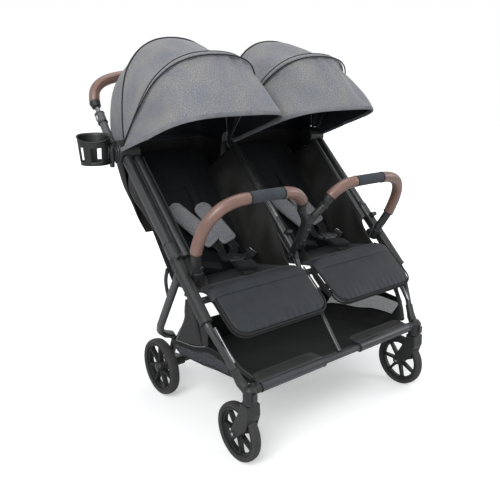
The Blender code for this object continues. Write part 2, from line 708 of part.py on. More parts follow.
ARCH = ((-1.0, 0.1), (-0.999, 0.24), (-0.985, 0.38), (-0.945, 0.55), (-0.86, 0.71), (-0.72, 0.83), (-0.54, 0.92),
        (-0.30, 0.98), (0.0, 1.0), (0.30, 0.98), (0.54, 0.92), (0.72, 0.83), (0.86, 0.71), (0.945, 0.55),
        (0.985, 0.38), (0.999, 0.24), (1.0, 0.1))


def hood(name, body, x, grow, stations, look, root=0.0003):
    """Cloth between bows: each station is (angle, scale in the middle, scale at the sides)."""
    rows = []
    for degrees, mid, side in stations:
        t = math.radians(degrees)
        row = []
        for u, v in ARCH:
            scale = mid + (side - mid) * abs(u) ** 3
            r = DISC_R + root if abs(u) == 1 else (v * CANOPY_H + grow) * scale
            row.append((x + u * (CANOPY_HW + grow), HUB_Y + r * math.cos(t), HUB_Z + r * math.sin(t)))
        rows.append(row)
    bm = bmesh.new()
    sheet(bm, rows)
    obj = place(name, bm, look, body)
    thicken(obj, HOOD_T, -1)
    middle = Vector((0, math.cos(math.radians(stations[1][0])), math.sin(math.radians(stations[1][0]))))
    top = obj.data.polygons[len(ARCH) // 2]
    if top.normal.dot(middle) < 0:
        obj.data.flip_normals()


def build_canopy(side, sx):
    x = sx * CANOPY_X
    hood("canopy_rear_" + side, "upper_frame", x, 0.0,
         ((REAR_BOW, 1, 1), (83, 0.995, 1), (74, 0.955, 1), (60, 0.80, 0.98), (45, 0.62, 0.92), (25, 0.47, 0.80),
          (5, 0.40, 0.66)),
         GREY_CLOTH, 0.0006)
    span = MID_BOW - MID_FROM
    hood("canopy_mid_" + side, "mid_bow_" + side, x, STEP,
         tuple((MID_FROM + span * i / 6, 1, 1) for i in range(7)), GREY_CLOTH)
    span = FRONT_BOW - FRONT_FROM
    hood("canopy_front_" + side, "front_bow_" + side, x, 2 * STEP,
         tuple((FRONT_FROM + span * i / 5, 1, 1) for i in range(6)), GREY_CLOTH)


def build_handle():
    tube = (HANDLE_R, HANDLE_R)
    half = []
    for along in (POST_END - HANDLE_IN, POST_END + 0.012, COLLAR_START):
        half.append(on_post(POST_X, along))
    half.append(on_post(POST_X, GRIP_START))
    for inward, ahead, below in ((0.001, 0.0135, 0.0655), (0.0065, 0.007, 0.0475), (0.0195, 0.0025, 0.032),
                                 (0.0405, 0, 0.0195), (0.0725, 0, 0.010), (0.1175, 0, 0.0035), (0.1825, 0, 0)):
        half.append(Vector((POST_X - inward, BAR_Y - ahead, BAR_Z - below)))
    mirror = [Vector((-p.x, p.y, p.z)) for p in reversed(half)]
    path = half + mirror
    bm = bmesh.new()
    sweep(bm, path, [tube] * len(path), 10)
    place("handle_bar", bm, FRAME_BLACK, "handle")

    grip = path[3:-3]
    ends = (GRIP_R - 0.003, GRIP_R - 0.003)
    full = (GRIP_R, GRIP_R)
    near = grip[0] + (grip[1] - grip[0]).normalized() * 0.003
    far = grip[-1] + (grip[-2] - grip[-1]).normalized() * 0.003
    outer = [grip[0], near] + grip[1:-1] + [far, grip[-1]]
    bm = bmesh.new()
    sweep(bm, outer, [ends] + [full] * (len(outer) - 2) + [ends], 12)
    obj = place("handle_grip", bm, LEATHER, "handle")
    bm = bmesh.new()
    hole = (HANDLE_R + GAP, HANDLE_R + GAP)
    sweep(bm, path[2:-2], [hole] * (len(path) - 4), 10)
    combine(obj, helper("grip_bore", bm, "handle"), "DIFFERENCE")


def build_rear_frame():
    for side, sx in SIDES:
        top = rear_pivot(sx * TUBE_X)
        under = Vector((top.x, REAR_Y - 0.160, REAR_R + 0.268))
        way = (top - under).normalized()
        path = [top + way * REAR_LEG_D * k for k in (0.985, 0.80, 0.4, 0)] + [under]
        for inward, ahead, above in ((0, 0.113, 0.1895), (0.004, 0.101, 0.1695), (0.029, 0.083, 0.1465),
                                     (0.062, 0.066, 0.1285), (0.079, 0.051, 0.1035), (0.0825, 0.033, 0.0695),
                                     (0.0825, 0.015, 0.0335), (0.0825, 0, 0), (0.0825, -0.006, -0.012)):
            path.append(Vector((sx * (TUBE_X - inward), REAR_Y - ahead, REAR_R + above)))
        bm = bmesh.new()
        cap = [(REAR_LEG_X, REAR_LEG_D * k) for k in (0.17, 0.60, 0.91)]
        sweep(bm, path, cap + [(REAR_LEG_X, REAR_LEG_D)] * (len(path) - 3), 14, power=2.6)
        obj = place("rear_leg_" + side, bm, FRAME_BLACK, "rear_frame")
        bm = bmesh.new()
        reach = REAR_X - REAR_STUB_X + REAR_W / 2 - 0.001
        lathe(bm, [(0, 0), (AXLE_R, 0), (AXLE_R, reach), (0, reach)], (sx * REAR_STUB_X, REAR_Y, REAR_R),
              (sx, 0, 0), 14)
        combine(obj, helper(obj.name + "_pin", bm, "rear_frame"), "UNION")
        build_wheel("rear", side, (sx * REAR_X, REAR_Y, REAR_R), REAR_R, REAR_W, "rear_wheel_" + side, 0.0)

    bm = bmesh.new()
    half = REAR_STUB_X - REAR_LEG_X - GAP
    lathe(bm, [(0, -half), (REAR_AXLE_R, -half), (REAR_AXLE_R, half), (0, half)], (0, REAR_Y, REAR_R), (1, 0, 0), 16)
    place("rear_axle", bm, FRAME_BLACK, "rear_frame")

    bm = bmesh.new()
    slab(bm, capsule(REAR_Y, REAR_R, -12, BRAKE_LEN, REAR_AXLE_R + 0.005), -BRAKE_X - BRAKE_HW,
         -BRAKE_X + BRAKE_HW, 0.002)
    obj = place("brake_pedal", bm, PLASTIC, "brake")
    bm = bmesh.new()
    half = BRAKE_HW + 0.01
    lathe(bm, [(0, -half), (REAR_AXLE_R + RUN, -half), (REAR_AXLE_R + RUN, half), (0, half)],
          (-BRAKE_X, REAR_Y, REAR_R), (1, 0, 0), 16)
    combine(obj, helper("brake_bore", bm, "brake"), "DIFFERENCE")


def build_wheel(name, side, centre, radius, width, body, phase):
    seat = radius - TYRE_DEPTH
    half = width / 2
    crown = [(seat + GAP, half * 0.70), (radius - 0.006, half), (radius - 0.0018, half * 0.62), (radius, half * 0.2)]
    profile = [(r, -h) for r, h in crown] + [(r, h) for r, h in reversed(crown)]
    bm = bmesh.new()
    lathe(bm, profile, centre, (1, 0, 0), WHEEL_SIDES)
    place(name + "_tyre_" + side, bm, RUBBER, body)

    bore = AXLE_R + RUN
    rim = seat - 0.010
    face = half - ARM_GAP * 0.5
    web = WEB_T / 2
    profile = [(bore, face), (HUB_R, face), (HUB_R + 0.001, web), (rim, web), (rim, half * 0.62), (seat, half * 0.62)]
    profile = profile + [(r, -h) for r, h in reversed(profile)]
    bm = bmesh.new()
    lathe(bm, profile, centre, (1, 0, 0), WHEEL_SIDES)
    obj = place(name + "_rim_" + side, bm, PLASTIC, body)

    bm = bmesh.new()
    outer, inner = rim - 0.002, HUB_R + 0.006
    for i in range(WINDOWS):
        mid = 2 * math.pi * (i + 0.5) / WINDOWS + phase
        wide = math.pi / WINDOWS - 0.0048 / outer
        narrow = math.pi / WINDOWS - 0.0048 / inner
        outline = []
        for k in range(4):
            t = mid - wide + 2 * wide * k / 3
            outline.append((centre[1] + outer * math.cos(t), centre[2] + outer * math.sin(t)))
        for sign in (1, -1):
            t = mid + sign * narrow
            outline.append((centre[1] + inner * math.cos(t), centre[2] + inner * math.sin(t)))
        face_verts = [bm.verts.new((centre[0] - half, y, z)) for y, z in outline]
        face = bm.faces.new(face_verts)
        made = bmesh.ops.extrude_face_region(bm, geom=[face])["geom"]
        bmesh.ops.translate(bm, vec=(width, 0, 0), verts=[g for g in made if isinstance(g, bmesh.types.BMVert)])
    combine(obj, helper(obj.name + "_windows", bm, body), "DIFFERENCE")


def build_castors():
    for side, sx in SIDES:
        x = sx * SWIVEL_X
        axle_y = SWIVEL_Y + TRAIL
        inner = FRONT_W / 2 + ARM_GAP
        outer = inner + ARM_T
        top = SWIVEL_TOP - GAP
        outline = [(SWIVEL_Y - CROWN_R, top), (SWIVEL_Y - CROWN_R - 0.002, top - 0.030), (SWIVEL_Y - 0.006, 0.112)]
        for i in range(7):
            t = math.radians(215 + 190 * i / 6)
            outline.append((axle_y + 0.013 * math.cos(t), FRONT_R + 0.013 * math.sin(t)))
        outline += [(SWIVEL_Y + CROWN_R + 0.012, 0.140), (SWIVEL_Y + CROWN_R, top - 0.010), (SWIVEL_Y + CROWN_R, top)]
        bm = bmesh.new()
        slab(bm, outline, x - outer, x + outer, 0.002)
        obj = place("castor_fork_" + side, bm, PLASTIC, "castor_" + side)
        bm = bmesh.new()
        lathe(bm, [(AXLE_R, -inner), (FRONT_R + 0.0016, -inner), (FRONT_R + 0.0016, inner), (AXLE_R, inner)],
              (x, axle_y, FRONT_R), (1, 0, 0), 32)
        combine(obj, helper(obj.name + "_slot", bm, "castor_" + side), "DIFFERENCE")
        build_wheel("front", side, (x, axle_y, FRONT_R), FRONT_R, FRONT_W, "front_wheel_" + side, 0.2)

        spot = lock_place(sx)
        bm = bmesh.new()
        slab(bm, capsule(spot[1], spot[2], -90, LOCK_LEN, LOCK_H), x - LOCK_HW, x + LOCK_HW)
        place("swivel_lock_" + side, bm, STEEL, "lock_" + side)


def build_bumper():
    base_x = TUBE_X - SLEEVE_HX - SOCKET_R - GAP
    for side, sx in SIDES:
        spine = [(base_x, -0.010), (base_x, 0.0), (base_x + 0.003, 0.030)]
        for inward, short in ((0.007, 0.170), (0, 0.142), (-0.0005, 0.110), (0.004, 0.075), (0.017, 0.044),
                              (0.042, 0.018), (0.075, 0.0045), (0.117, 0)):
            spine.append((BUMPER_X - inward, BUMPER_REACH - short))
        for outward, short in ((0.104, 0), (0.067, 0.002), (0.038, 0.011), (0.014, 0.029), (0.004, 0.042)):
            spine.append((BUMPER_INNER_X + outward, BUMPER_REACH - short))
        spine.append((BUMPER_INNER_X, BUMPER_INNER_REACH + GAP))
        path = [on_bumper(sx * x, r) for x, r in spine]
        sizes = [(SOCKET_R, SOCKET_R)] * 4 + [(BUMPER_R - 0.001, BUMPER_R - 0.001)] * (len(path) - 5)
        sizes += [(BUMPER_R - 0.002, BUMPER_R - 0.002)]
        bm = bmesh.new()
        sweep(bm, path, sizes, 14)
        place("bumper_bar_" + side, bm, LEATHER, "bumper_bars")

    bm = bmesh.new()
    sweep(bm, [on_bumper(0, 0.026), on_bumper(0, 0.045), on_bumper(0, 0.118), on_bumper(0, 0.134)],
          [(MOUNT_HX, 0.010), (MOUNT_HX, MOUNT_HD), (MOUNT_HX + 0.003, MOUNT_HD), (MOUNT_HX - 0.003, MOUNT_HD - 0.005)],
          14, power=2.4)
    obj = place("bar_mount", bm, PLASTIC, "bumper_bars")
    for side, sx in SIDES:
        end = on_bumper(sx * BUMPER_INNER_X, BUMPER_INNER_REACH)
        before = on_bumper(sx * (BUMPER_INNER_X - 0.0035), BUMPER_INNER_REACH - 0.0119)
        bm = bmesh.new()
        path = [on_bumper(sx * 0.003, 0.102 + 0.001 * sx), on_bumper(sx * 0.018, 0.132), before, end]
        sweep(bm, path, [(BRANCH_R - 0.001, BRANCH_R - 0.001)] + [(BRANCH_R, BRANCH_R)] * 3, 12, hint=(0, 0, 1))
        combine(obj, helper("branch_" + side, bm, "bumper_bars"), "UNION")
        bm = bmesh.new()
        x0 = CENTRE_HX + RUN
        slab(bm, capsule(BUMPER_Y, BUMPER_Z, BUMPER_ANGLE, 0.036, YOKE_R), sx * x0, sx * (MOUNT_HX + 0.0025))
        combine(obj, helper("yoke_" + side, bm, "bumper_bars"), "UNION")


def build_cup():
    wall = CUP_T
    slope = (CUP_R - CUP_FOOT_R) / CUP_H
    bm = bmesh.new()
    lathe(bm, [(0, 0), (CUP_FOOT_R, 0), (CUP_R, CUP_H), (CUP_R - wall, CUP_H),
               (CUP_FOOT_R - wall + slope * wall, wall), (0, wall)],
          (CUP_X, CUP_Y, CUP_TOP - CUP_H), (0, 0, 1), 28)
    obj = place("cup_holder", bm, PLASTIC, "cup")
    bm = bmesh.new()
    lug = capsule(HUB_Y, CUP_TOP - 0.066, 90, 0.024, 0.010)
    slab(bm, lug, -HUB_OUT - GAP, CUP_X + CUP_R - 0.012)
    combine(obj, helper("cup_lug", bm, "cup"), "UNION")


def main():
    clear_scene()
    build_bodies()
    build_lower_frame()
    build_upper_frame()
    build_handle()
    build_rear_frame()
    build_castors()
    build_bumper()
    build_cup()


main()
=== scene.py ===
"""The looks of a side-by-side double stroller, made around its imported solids.

Each operator makes one piece or one group of like pieces. Sizes are in metres.
x, y and z in the tables are measured from the stroller's own middle plane, the front of its seats
and the floor, and moved by MIDDLE when a piece is finished.
"""
import json
import math

import bmesh
import bpy
from bpy.props import FloatProperty, FloatVectorProperty, IntProperty, PointerProperty
from bpy.types import Operator, Panel, PropertyGroup
from mathutils import Matrix, Vector, noise

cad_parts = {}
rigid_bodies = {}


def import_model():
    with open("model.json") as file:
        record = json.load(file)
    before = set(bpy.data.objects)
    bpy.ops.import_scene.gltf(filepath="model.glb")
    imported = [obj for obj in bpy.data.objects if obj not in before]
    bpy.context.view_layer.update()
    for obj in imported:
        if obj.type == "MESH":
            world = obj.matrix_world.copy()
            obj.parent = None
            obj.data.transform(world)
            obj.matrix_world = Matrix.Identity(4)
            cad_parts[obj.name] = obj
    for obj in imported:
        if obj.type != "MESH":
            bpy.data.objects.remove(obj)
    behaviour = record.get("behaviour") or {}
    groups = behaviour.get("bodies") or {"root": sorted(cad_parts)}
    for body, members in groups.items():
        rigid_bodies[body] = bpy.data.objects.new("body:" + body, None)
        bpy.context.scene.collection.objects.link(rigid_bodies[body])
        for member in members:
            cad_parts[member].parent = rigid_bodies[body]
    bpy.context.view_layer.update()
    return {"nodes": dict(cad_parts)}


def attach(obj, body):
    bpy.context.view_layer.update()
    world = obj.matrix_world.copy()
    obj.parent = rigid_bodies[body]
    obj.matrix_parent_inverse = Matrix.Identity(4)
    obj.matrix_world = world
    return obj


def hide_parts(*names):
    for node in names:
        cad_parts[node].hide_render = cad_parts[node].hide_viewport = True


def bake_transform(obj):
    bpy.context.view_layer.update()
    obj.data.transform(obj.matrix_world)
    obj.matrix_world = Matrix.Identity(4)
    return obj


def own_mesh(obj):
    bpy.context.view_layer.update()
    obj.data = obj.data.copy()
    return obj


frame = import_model()

bl_info = {
    "name": "Double stroller",
    "version": (1, 0, 0),
    "blender": (4, 5, 0),
    "location": "3D View > Sidebar > Stroller",
    "description": "Cloth, wheels and trim of a side-by-side double stroller",
    "category": "Object",
}

SIDES = (("left", -1), ("right", 1))

# The solids' own measures, repeated from the part
MIDDLE = Vector((0.0474, -0.1570, 0.0))
FOLD = (0.076, 0.490, 43.5)
POST = (0.375, 0.735, 49.5)
POST_X = 0.3725
BUMPER = (0.030, 0.447, 114.3)
BAR_X = 0.3375
BACK = (0.1802, 0.3919, 51.5)
HUB = Vector((0.0, 0.345, 0.735))
SEAT_X = 0.1795
SEAT_HW = 0.140
CALF_HW = 0.145
TUBE_X = 0.365
WING_X = 0.3225
WING_FALL = (0.006, 0.320)
CENTRE_FALL = (0.040, 0.295)
CANOPY_X = 0.180
CANOPY_HW = 0.1725
CANOPY_H = 0.300
STEP = 0.0035
FRONT_AXLE = Vector((0.318, -0.123, 0.078))
REAR_AXLE = Vector((0.307, 0.285, 0.0865))
SWIVEL_Y = -0.168


def on_line(line, x, along, up=0.0):
    """Point beside one of the side view's lines (y, z, degrees), in the stroller's own frame."""
    y, z, degrees = line
    a = math.radians(degrees)
    return Vector((x, y + along * math.cos(a) - up * math.sin(a),
                   z + along * math.sin(a) + up * math.cos(a)))


def direction(line, up=False):
    """Unit vector along one of the side view's lines, or square to it."""
    return on_line(line, 0, 0 if up else 1, 1 if up else 0) - on_line(line, 0, 0)


def srgb(code):
    """Linear colour of an sRGB hex value."""
    out = []
    for i in (0, 2, 4):
        c = int(code[i:i + 2], 16) / 255
        out.append(c / 12.92 if c <= 0.04045 else ((c + 0.055) / 1.055) ** 2.4)
    return tuple(out)


def colour(label, code, description):
    """A colour that the panel shows."""
    return FloatVectorProperty(name=label, description=description, subtype="COLOR", size=3, min=0.0,
                               max=1.0, default=srgb(code))


def length(label, metres, description):
    """A size that the panel shows."""
    return FloatProperty(name=label, description=description, default=metres, min=0.0,
                         subtype="DISTANCE", unit="LENGTH", precision=4)


class StrollerColours(PropertyGroup):
    """Colours of the cloths and mouldings."""
    canopy: colour("Canopy cloth", "7E7E80", "Grey melange of the canopies and shoulder pads")
    lining: colour("Canopy lining", "191C22", "Blue-black lining under the canopies")
    seat: colour("Seat cloth", "0B0E11", "Black twill of the seats")
    wing: colour("Wing cloth", "20201F", "Brown-black cloth beside the seats")
    calf: colour("Calf pad cloth", "2B2E32", "Coated charcoal cloth of the calf pads")
    piping: colour("Piping", "0E0F11", "Black bias tape")
    leather: colour("Leatherette", "70544A", "Brown of the push bar and bumper bars")
    frame: colour("Frame paint", "2A2C2D", "Matt charcoal powder coat")
    plastic: colour("Mouldings", "151617", "Black moulded plastic")
    rubber: colour("Tyres", "2C2C2B", "Foam rubber tyres")
    plate: colour("Foot plates", "2C2C2C", "Warm grey moulded foot plates")
    mesh: colour("Basket mesh", "3A3D42", "Open mesh of the basket sides")


class StrollerSizes(PropertyGroup):
    """Sizes of the trim that a maker may want to change."""
    hood_cloth: length("Hood cloth", 0.0018, "Thickness of the hood's cloth with its lining")
    wheel_steps: IntProperty(name="Wheel steps", description="Faces round each wheel", default=72,
                             min=24)


def finishes():
    return bpy.context.scene.stroller_colours


def sizes():
    return bpy.context.scene.stroller_sizes


# Materials

def add_node(tree, kind, settings=None, **links):
    """Add a node. Settings are attributes or socket values; links feed its inputs."""
    made = tree.nodes.new(kind)
    for key, value in (settings or {}).items():
        if hasattr(made, key) and key not in made.inputs:
            setattr(made, key, value)
        else:
            made.inputs[key].default_value = value
    for key, source in links.items():
        tree.links.new(source, made.inputs[key.replace("_", " ")])
    return made


def start_material(name, roughness):
    """A new material with its tree and shader, or the one of that name alone."""
    mat = bpy.data.materials.get(name)
    if mat:
        return mat, None, None
    mat = bpy.data.materials.new(name)
    mat.use_nodes = True
    tree = mat.node_tree
    shader = tree.nodes["Principled BSDF"]
    shader.inputs["Roughness"].default_value = roughness
    return mat, tree, shader


def tint(tree, shader, source, base, low, high):
    """Colour that runs from low to high times the base as the source goes from 0.3 to 0.7."""
    ramp = add_node(tree, "ShaderNodeValToRGB", None, Fac=source)
    ramp.color_ramp.elements[0].position = 0.3
    ramp.color_ramp.elements[1].position = 0.7
    for element, factor in zip(ramp.color_ramp.elements, (low, high)):
        element.color = (*(min(1.0, c * factor) for c in base), 1.0)
    tree.links.new(ramp.outputs["Color"], shader.inputs["Base Color"])
    return ramp


def bump(tree, shader, height, distance, strength):
    """Relief of the surface from a height."""
    made = add_node(tree, "ShaderNodeBump", {"Distance": distance, "Strength": strength}, Height=height)
    tree.links.new(made.outputs["Normal"], shader.inputs["Normal"])


def combine(tree, operation, first, second):
    """Output of a math node over two sockets."""
    made = add_node(tree, "ShaderNodeMath", {"operation": operation})
    tree.links.new(first, made.inputs[0])
    tree.links.new(second, made.inputs[1])
    return made.outputs[0]


def clouds(scale, detail):
    """Noise pattern, as node, settings and output."""
    return "ShaderNodeTexNoise", {"Scale": scale, "Detail": detail}, "Fac"


def cells(scale, randomness):
    """Cell pattern, as node, settings and output."""
    return "ShaderNodeTexVoronoi", {"Scale": scale, "Randomness": randomness}, "Distance"


def surface(name, base, roughness, patch, shades, relief, grain=None, spread=None, **sockets):
    """A finish whose colour follows patch, and its relief grain, or else patch.

    Spread is the range of its roughness, where that follows patch too."""
    mat, tree, shader = start_material(name, roughness)
    if tree is None:
        return mat
    place = add_node(tree, "ShaderNodeTexCoord").outputs["Object"]
    shade, height = (add_node(tree, kind, settings, Vector=place).outputs[output]
                     for kind, settings, output in (patch, grain or patch))
    tint(tree, shader, shade, base, *shades)
    bump(tree, shader, height, *relief)
    if spread:
        rough = add_node(tree, "ShaderNodeMapRange", {"To Min": spread[0], "To Max": spread[1]},
                         Value=shade)
        tree.links.new(rough.outputs["Result"], shader.inputs["Roughness"])
    for socket, value in sockets.items():
        shader.inputs[socket.replace("_", " ")].default_value = value
    return mat


def powder_coat():
    """Matt powder coat: a fine orange peel that breaks up the highlight."""
    return surface("powder_coated_tube", tuple(finishes().frame), 0.34, clouds(18.0, 4.0), (0.86, 1.16),
                   (0.0002, 0.35), clouds(900.0, 2.0), (0.28, 0.42))


def moulded(name, base, roughness=0.5, grain=700.0, depth=0.00025):
    """Injection-moulded nylon or ABS with a spark-eroded texture."""
    return surface(name, base, roughness, clouds(26.0, 5.0), (0.84, 1.2), (depth, 0.4),
                   clouds(grain, 3.0), (roughness - 0.08, roughness + 0.1))


def melange():
    """Two-tone yarn: pale and dark threads cross, so the grey is flecked in both directions.

    The real flecks are about 1 mm; they are drawn about 4 mm long to show in the picture."""
    mat, tree, shader = start_material("grey_melange_polyester", 0.93)
    if tree is None:
        return mat
    base = tuple(finishes().canopy)
    place = add_node(tree, "ShaderNodeTexCoord").outputs["UV"]
    flecks = []
    for stretch in ((470.0, 1700.0, 1.0), (1700.0, 500.0, 1.0)):
        way = add_node(tree, "ShaderNodeMapping", {"Scale": stretch}, Vector=place)
        flecks.append(add_node(tree, "ShaderNodeTexNoise", {"Scale": 0.5, "Detail": 1.0},
                               Vector=way.outputs["Vector"]).outputs["Fac"])
    both = add_node(tree, "ShaderNodeMix", {"data_type": "FLOAT", "Factor": 0.5})
    tree.links.new(flecks[0], both.inputs["A"])
    tree.links.new(flecks[1], both.inputs["B"])
    ramp = tint(tree, shader, both.outputs["Result"], base, 0.45, 1.60)
    ramp.color_ramp.elements[0].position = 0.37
    ramp.color_ramp.elements[1].position = 0.63
    cloud = add_node(tree, "ShaderNodeTexNoise", {"Scale": 11.0, "Detail": 6.0, "Roughness": 0.62},
                     Vector=place)
    shade = add_node(tree, "ShaderNodeValToRGB", None, Fac=cloud.outputs["Fac"])
    shade.color_ramp.elements[0].position = 0.32
    shade.color_ramp.elements[0].color = (0.66, 0.71, 0.82, 1.0)
    shade.color_ramp.elements[1].position = 0.68
    shade.color_ramp.elements[1].color = (1.0, 0.97, 0.915, 1.0)
    mixed = add_node(tree, "ShaderNodeMix", {"data_type": "RGBA", "blend_type": "MULTIPLY"})
    mixed.inputs[0].default_value = 1.0
    tree.links.new(ramp.outputs["Color"], mixed.inputs[6])
    tree.links.new(shade.outputs["Color"], mixed.inputs[7])
    tree.links.new(mixed.outputs[2], shader.inputs["Base Color"])
    bump(tree, shader, both.outputs["Result"], 0.0005, 0.4)
    shader.inputs["Sheen Weight"].default_value = 0.15
    shader.inputs["Sheen Roughness"].default_value = 0.5
    return mat


def woven(name, base, thread=0.0022, roughness=0.85, sheen=0.05, contrast=(0.78, 1.25), cloudy=22.0):
    """Plain weave: threads of about 0.4 mm, drawn coarser, with a soft mottle from wear."""
    mat, tree, shader = start_material(name, roughness)
    if tree is None:
        return mat
    place = add_node(tree, "ShaderNodeTexCoord").outputs["Object"]
    mottle = add_node(tree, "ShaderNodeTexNoise", {"Scale": cloudy, "Detail": 6.0, "Roughness": 0.62},
                      Vector=place)
    tint(tree, shader, mottle.outputs["Fac"], base, *contrast)
    waves = []
    for axis in ("X", "Z"):
        wave = add_node(tree, "ShaderNodeTexWave", {"Scale": 0.314 / thread, "Distortion": 1.2,
                                                    "Detail": 1.0}, Vector=place)
        wave.bands_direction = axis
        waves.append(wave.outputs["Fac"])
    bump(tree, shader, combine(tree, "MAXIMUM", *waves), 0.0003, 0.45)
    shader.inputs["Sheen Weight"].default_value = sheen
    shader.inputs["Sheen Roughness"].default_value = 0.45
    shader.inputs["Specular IOR Level"].default_value = 0.24
    return mat


def leatherette():
    """PU leather: a pebbled grain of about 1 mm under a thin satin coat."""
    return surface("brown_leatherette", tuple(finishes().leather), 0.42, clouds(24.0, 4.0), (0.82, 1.16),
                   (0.0005, 0.35), cells(620.0, 1.0), Coat_Weight=0.30, Coat_Roughness=0.28)


def rubber():
    """Foam rubber: dull, with a faint dusty bloom."""
    return surface("foamed_rubber", tuple(finishes().rubber), 0.78, clouds(60.0, 6.0), (0.85, 1.25),
                   (0.0004, 0.3))


def bright_steel():
    """Turned and plated steel of rivets, pins and buckle bars."""
    return surface("bright_steel", srgb("A9ABAE"), 0.28, clouds(300.0, 2.0), (0.85, 1.1),
                   (0.0001, 0.2), Metallic=1.0)


def satin_steel():
    """Zinc-plated steel with a dark passivated finish: a grey metal with soft bright lines."""
    return surface("satin_dark_steel", srgb("77797C"), 0.30, clouds(160.0, 3.0), (0.8, 1.2),
                   (0.0001, 0.2), Metallic=1.0)


def open_mesh():
    """Knitted mesh: holes of 2 mm that let the ground show through as a grey veil."""
    return surface("open_basket_mesh", tuple(finishes().mesh), 0.8, cells(420.0, 0.15), (0.8, 1.3),
                   (0.0005, 0.4), Alpha=0.62)


def satin_black():
    return moulded("satin_black_cap", srgb("242528"), 0.35)


def dark_thread():
    return moulded("dark_seam", srgb("4A332C"), 0.7)


def black_plastic():
    return moulded("textured_black_nylon", tuple(finishes().plastic))


def seat_cloth():
    return woven("black_seat_twill", tuple(finishes().seat))


def wing_cloth():
    return woven("black_wing_polyester", tuple(finishes().wing), roughness=0.7, sheen=0.03,
                 contrast=(0.62, 1.5), cloudy=9.0)


def calf_cloth():
    return woven("coated_charcoal_oxford", tuple(finishes().calf), roughness=0.55, sheen=0.05,
                 contrast=(0.82, 1.2))


def lining_cloth():
    return woven("blue_black_lining", tuple(finishes().lining), roughness=0.62,
                 contrast=(0.7, 1.3), cloudy=14.0)


def piping_tape():
    return moulded("black_bias_tape", tuple(finishes().piping), 0.8)


def webbing():
    return woven("black_webbing", srgb("0F1012"), thread=0.0016, roughness=0.7,
                 contrast=(0.8, 1.4), cloudy=90.0)


# Making and finishing meshes

def finish(name, bm, mats, body, node=None, smooth=40.0, turn_out=True, levels=0,
           thickness=0.0, offset=-1.0):
    """Turn a bmesh in the stroller's own frame into a piece that rides on a body, or on none yet.

    The piece takes the place of its node, where it has one."""
    if turn_out:
        bmesh.ops.remove_doubles(bm, verts=bm.verts[:], dist=1e-6)
        bmesh.ops.recalc_face_normals(bm, faces=bm.faces[:])
    bmesh.ops.translate(bm, vec=MIDDLE, verts=bm.verts[:])
    mesh = bpy.data.meshes.new(name)
    bm.to_mesh(mesh)
    bm.free()
    mesh.shade_smooth()
    mesh.set_sharp_from_angle(angle=math.radians(smooth))
    obj = bpy.data.objects.new(name, mesh)
    bpy.context.collection.objects.link(obj)
    for mat in mats if isinstance(mats, (list, tuple)) else [mats]:
        mesh.materials.append(mat)
    if thickness:
        mod = obj.modifiers.new("thickness", "SOLIDIFY")
        mod.thickness = thickness
        mod.offset = offset
        mod.use_even_offset = True
        if len(mesh.materials) > 1:
            mod.material_offset = 1
    if levels:
        mod = obj.modifiers.new("subdivision", "SUBSURF")
        mod.levels = levels
        mod.render_levels = levels
    if body:
        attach(obj, body)
    if node:
        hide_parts(node)
    return obj


def unit_outline(sides, power):
    """Unit outline between an ellipse and a rectangle."""
    points = []
    for i in range(sides):
        t = 2 * math.pi * (i + 0.5) / sides
        c, s = math.cos(t), math.sin(t)
        points.append((math.copysign(abs(c) ** (2 / power), c), math.copysign(abs(s) ** (2 / power), s)))
    return points


def frames_along(points, hint):
    """Frames whose z axis follows a path and whose x axis turns as little as it can."""
    out = []
    last = len(points) - 1
    side = Vector(hint)
    for i, p in enumerate(points):
        tangent = (points[min(i + 1, last)] - points[max(i - 1, 0)]).normalized()
        x_axis = (side - tangent * side.dot(tangent)).normalized()
        side = x_axis
        out.append(Matrix.Translation(p)
                   @ Matrix((x_axis, tangent.cross(x_axis), tangent)).transposed().to_4x4())
    return out


def sweep(bm, points, widths, sides, hint=(1, 0, 0), power=2.0):
    """Extrude an oval face along a path.

    Widths is one (half width, half depth), or a list with one for each point."""
    points = [Vector(p) for p in points]
    if isinstance(widths, tuple):
        widths = [widths] * len(points)
    frames = frames_along(points, hint)
    verts = [bm.verts.new(frames[0] @ Vector((u * widths[0][0], v * widths[0][1], 0)))
             for u, v in unit_outline(sides, power)]
    face = bm.faces.new(verts)
    for i in range(1, len(points)):
        grow = Matrix.Diagonal((widths[i][0] / widths[i - 1][0], widths[i][1] / widths[i - 1][1], 1, 1))
        made = bmesh.ops.extrude_face_region(bm, geom=[face])["geom"]
        if i > 1:
            bmesh.ops.delete(bm, geom=[face], context="FACES_ONLY")
        face = next(g for g in made if isinstance(g, bmesh.types.BMFace))
        bmesh.ops.transform(bm, matrix=frames[i] @ grow @ frames[i - 1].inverted(),
                            verts=[g for g in made if isinstance(g, bmesh.types.BMVert)])


def curve_through(points, per_span):
    """Catmull-Rom curve through the points."""
    pts = [Vector(p) for p in points]
    pts = [2 * pts[0] - pts[1]] + pts + [2 * pts[-1] - pts[-2]]
    out = []
    for i in range(1, len(pts) - 2):
        a, b, c, d = pts[i - 1:i + 3]
        for k in range(per_span):
            t = k / per_span
            out.append(0.5 * (2 * b + (c - a) * t + (2 * a - 5 * b + 4 * c - d) * t * t
                              + (3 * b - a - 3 * c + d) * t ** 3))
    return out + [pts[-2]]


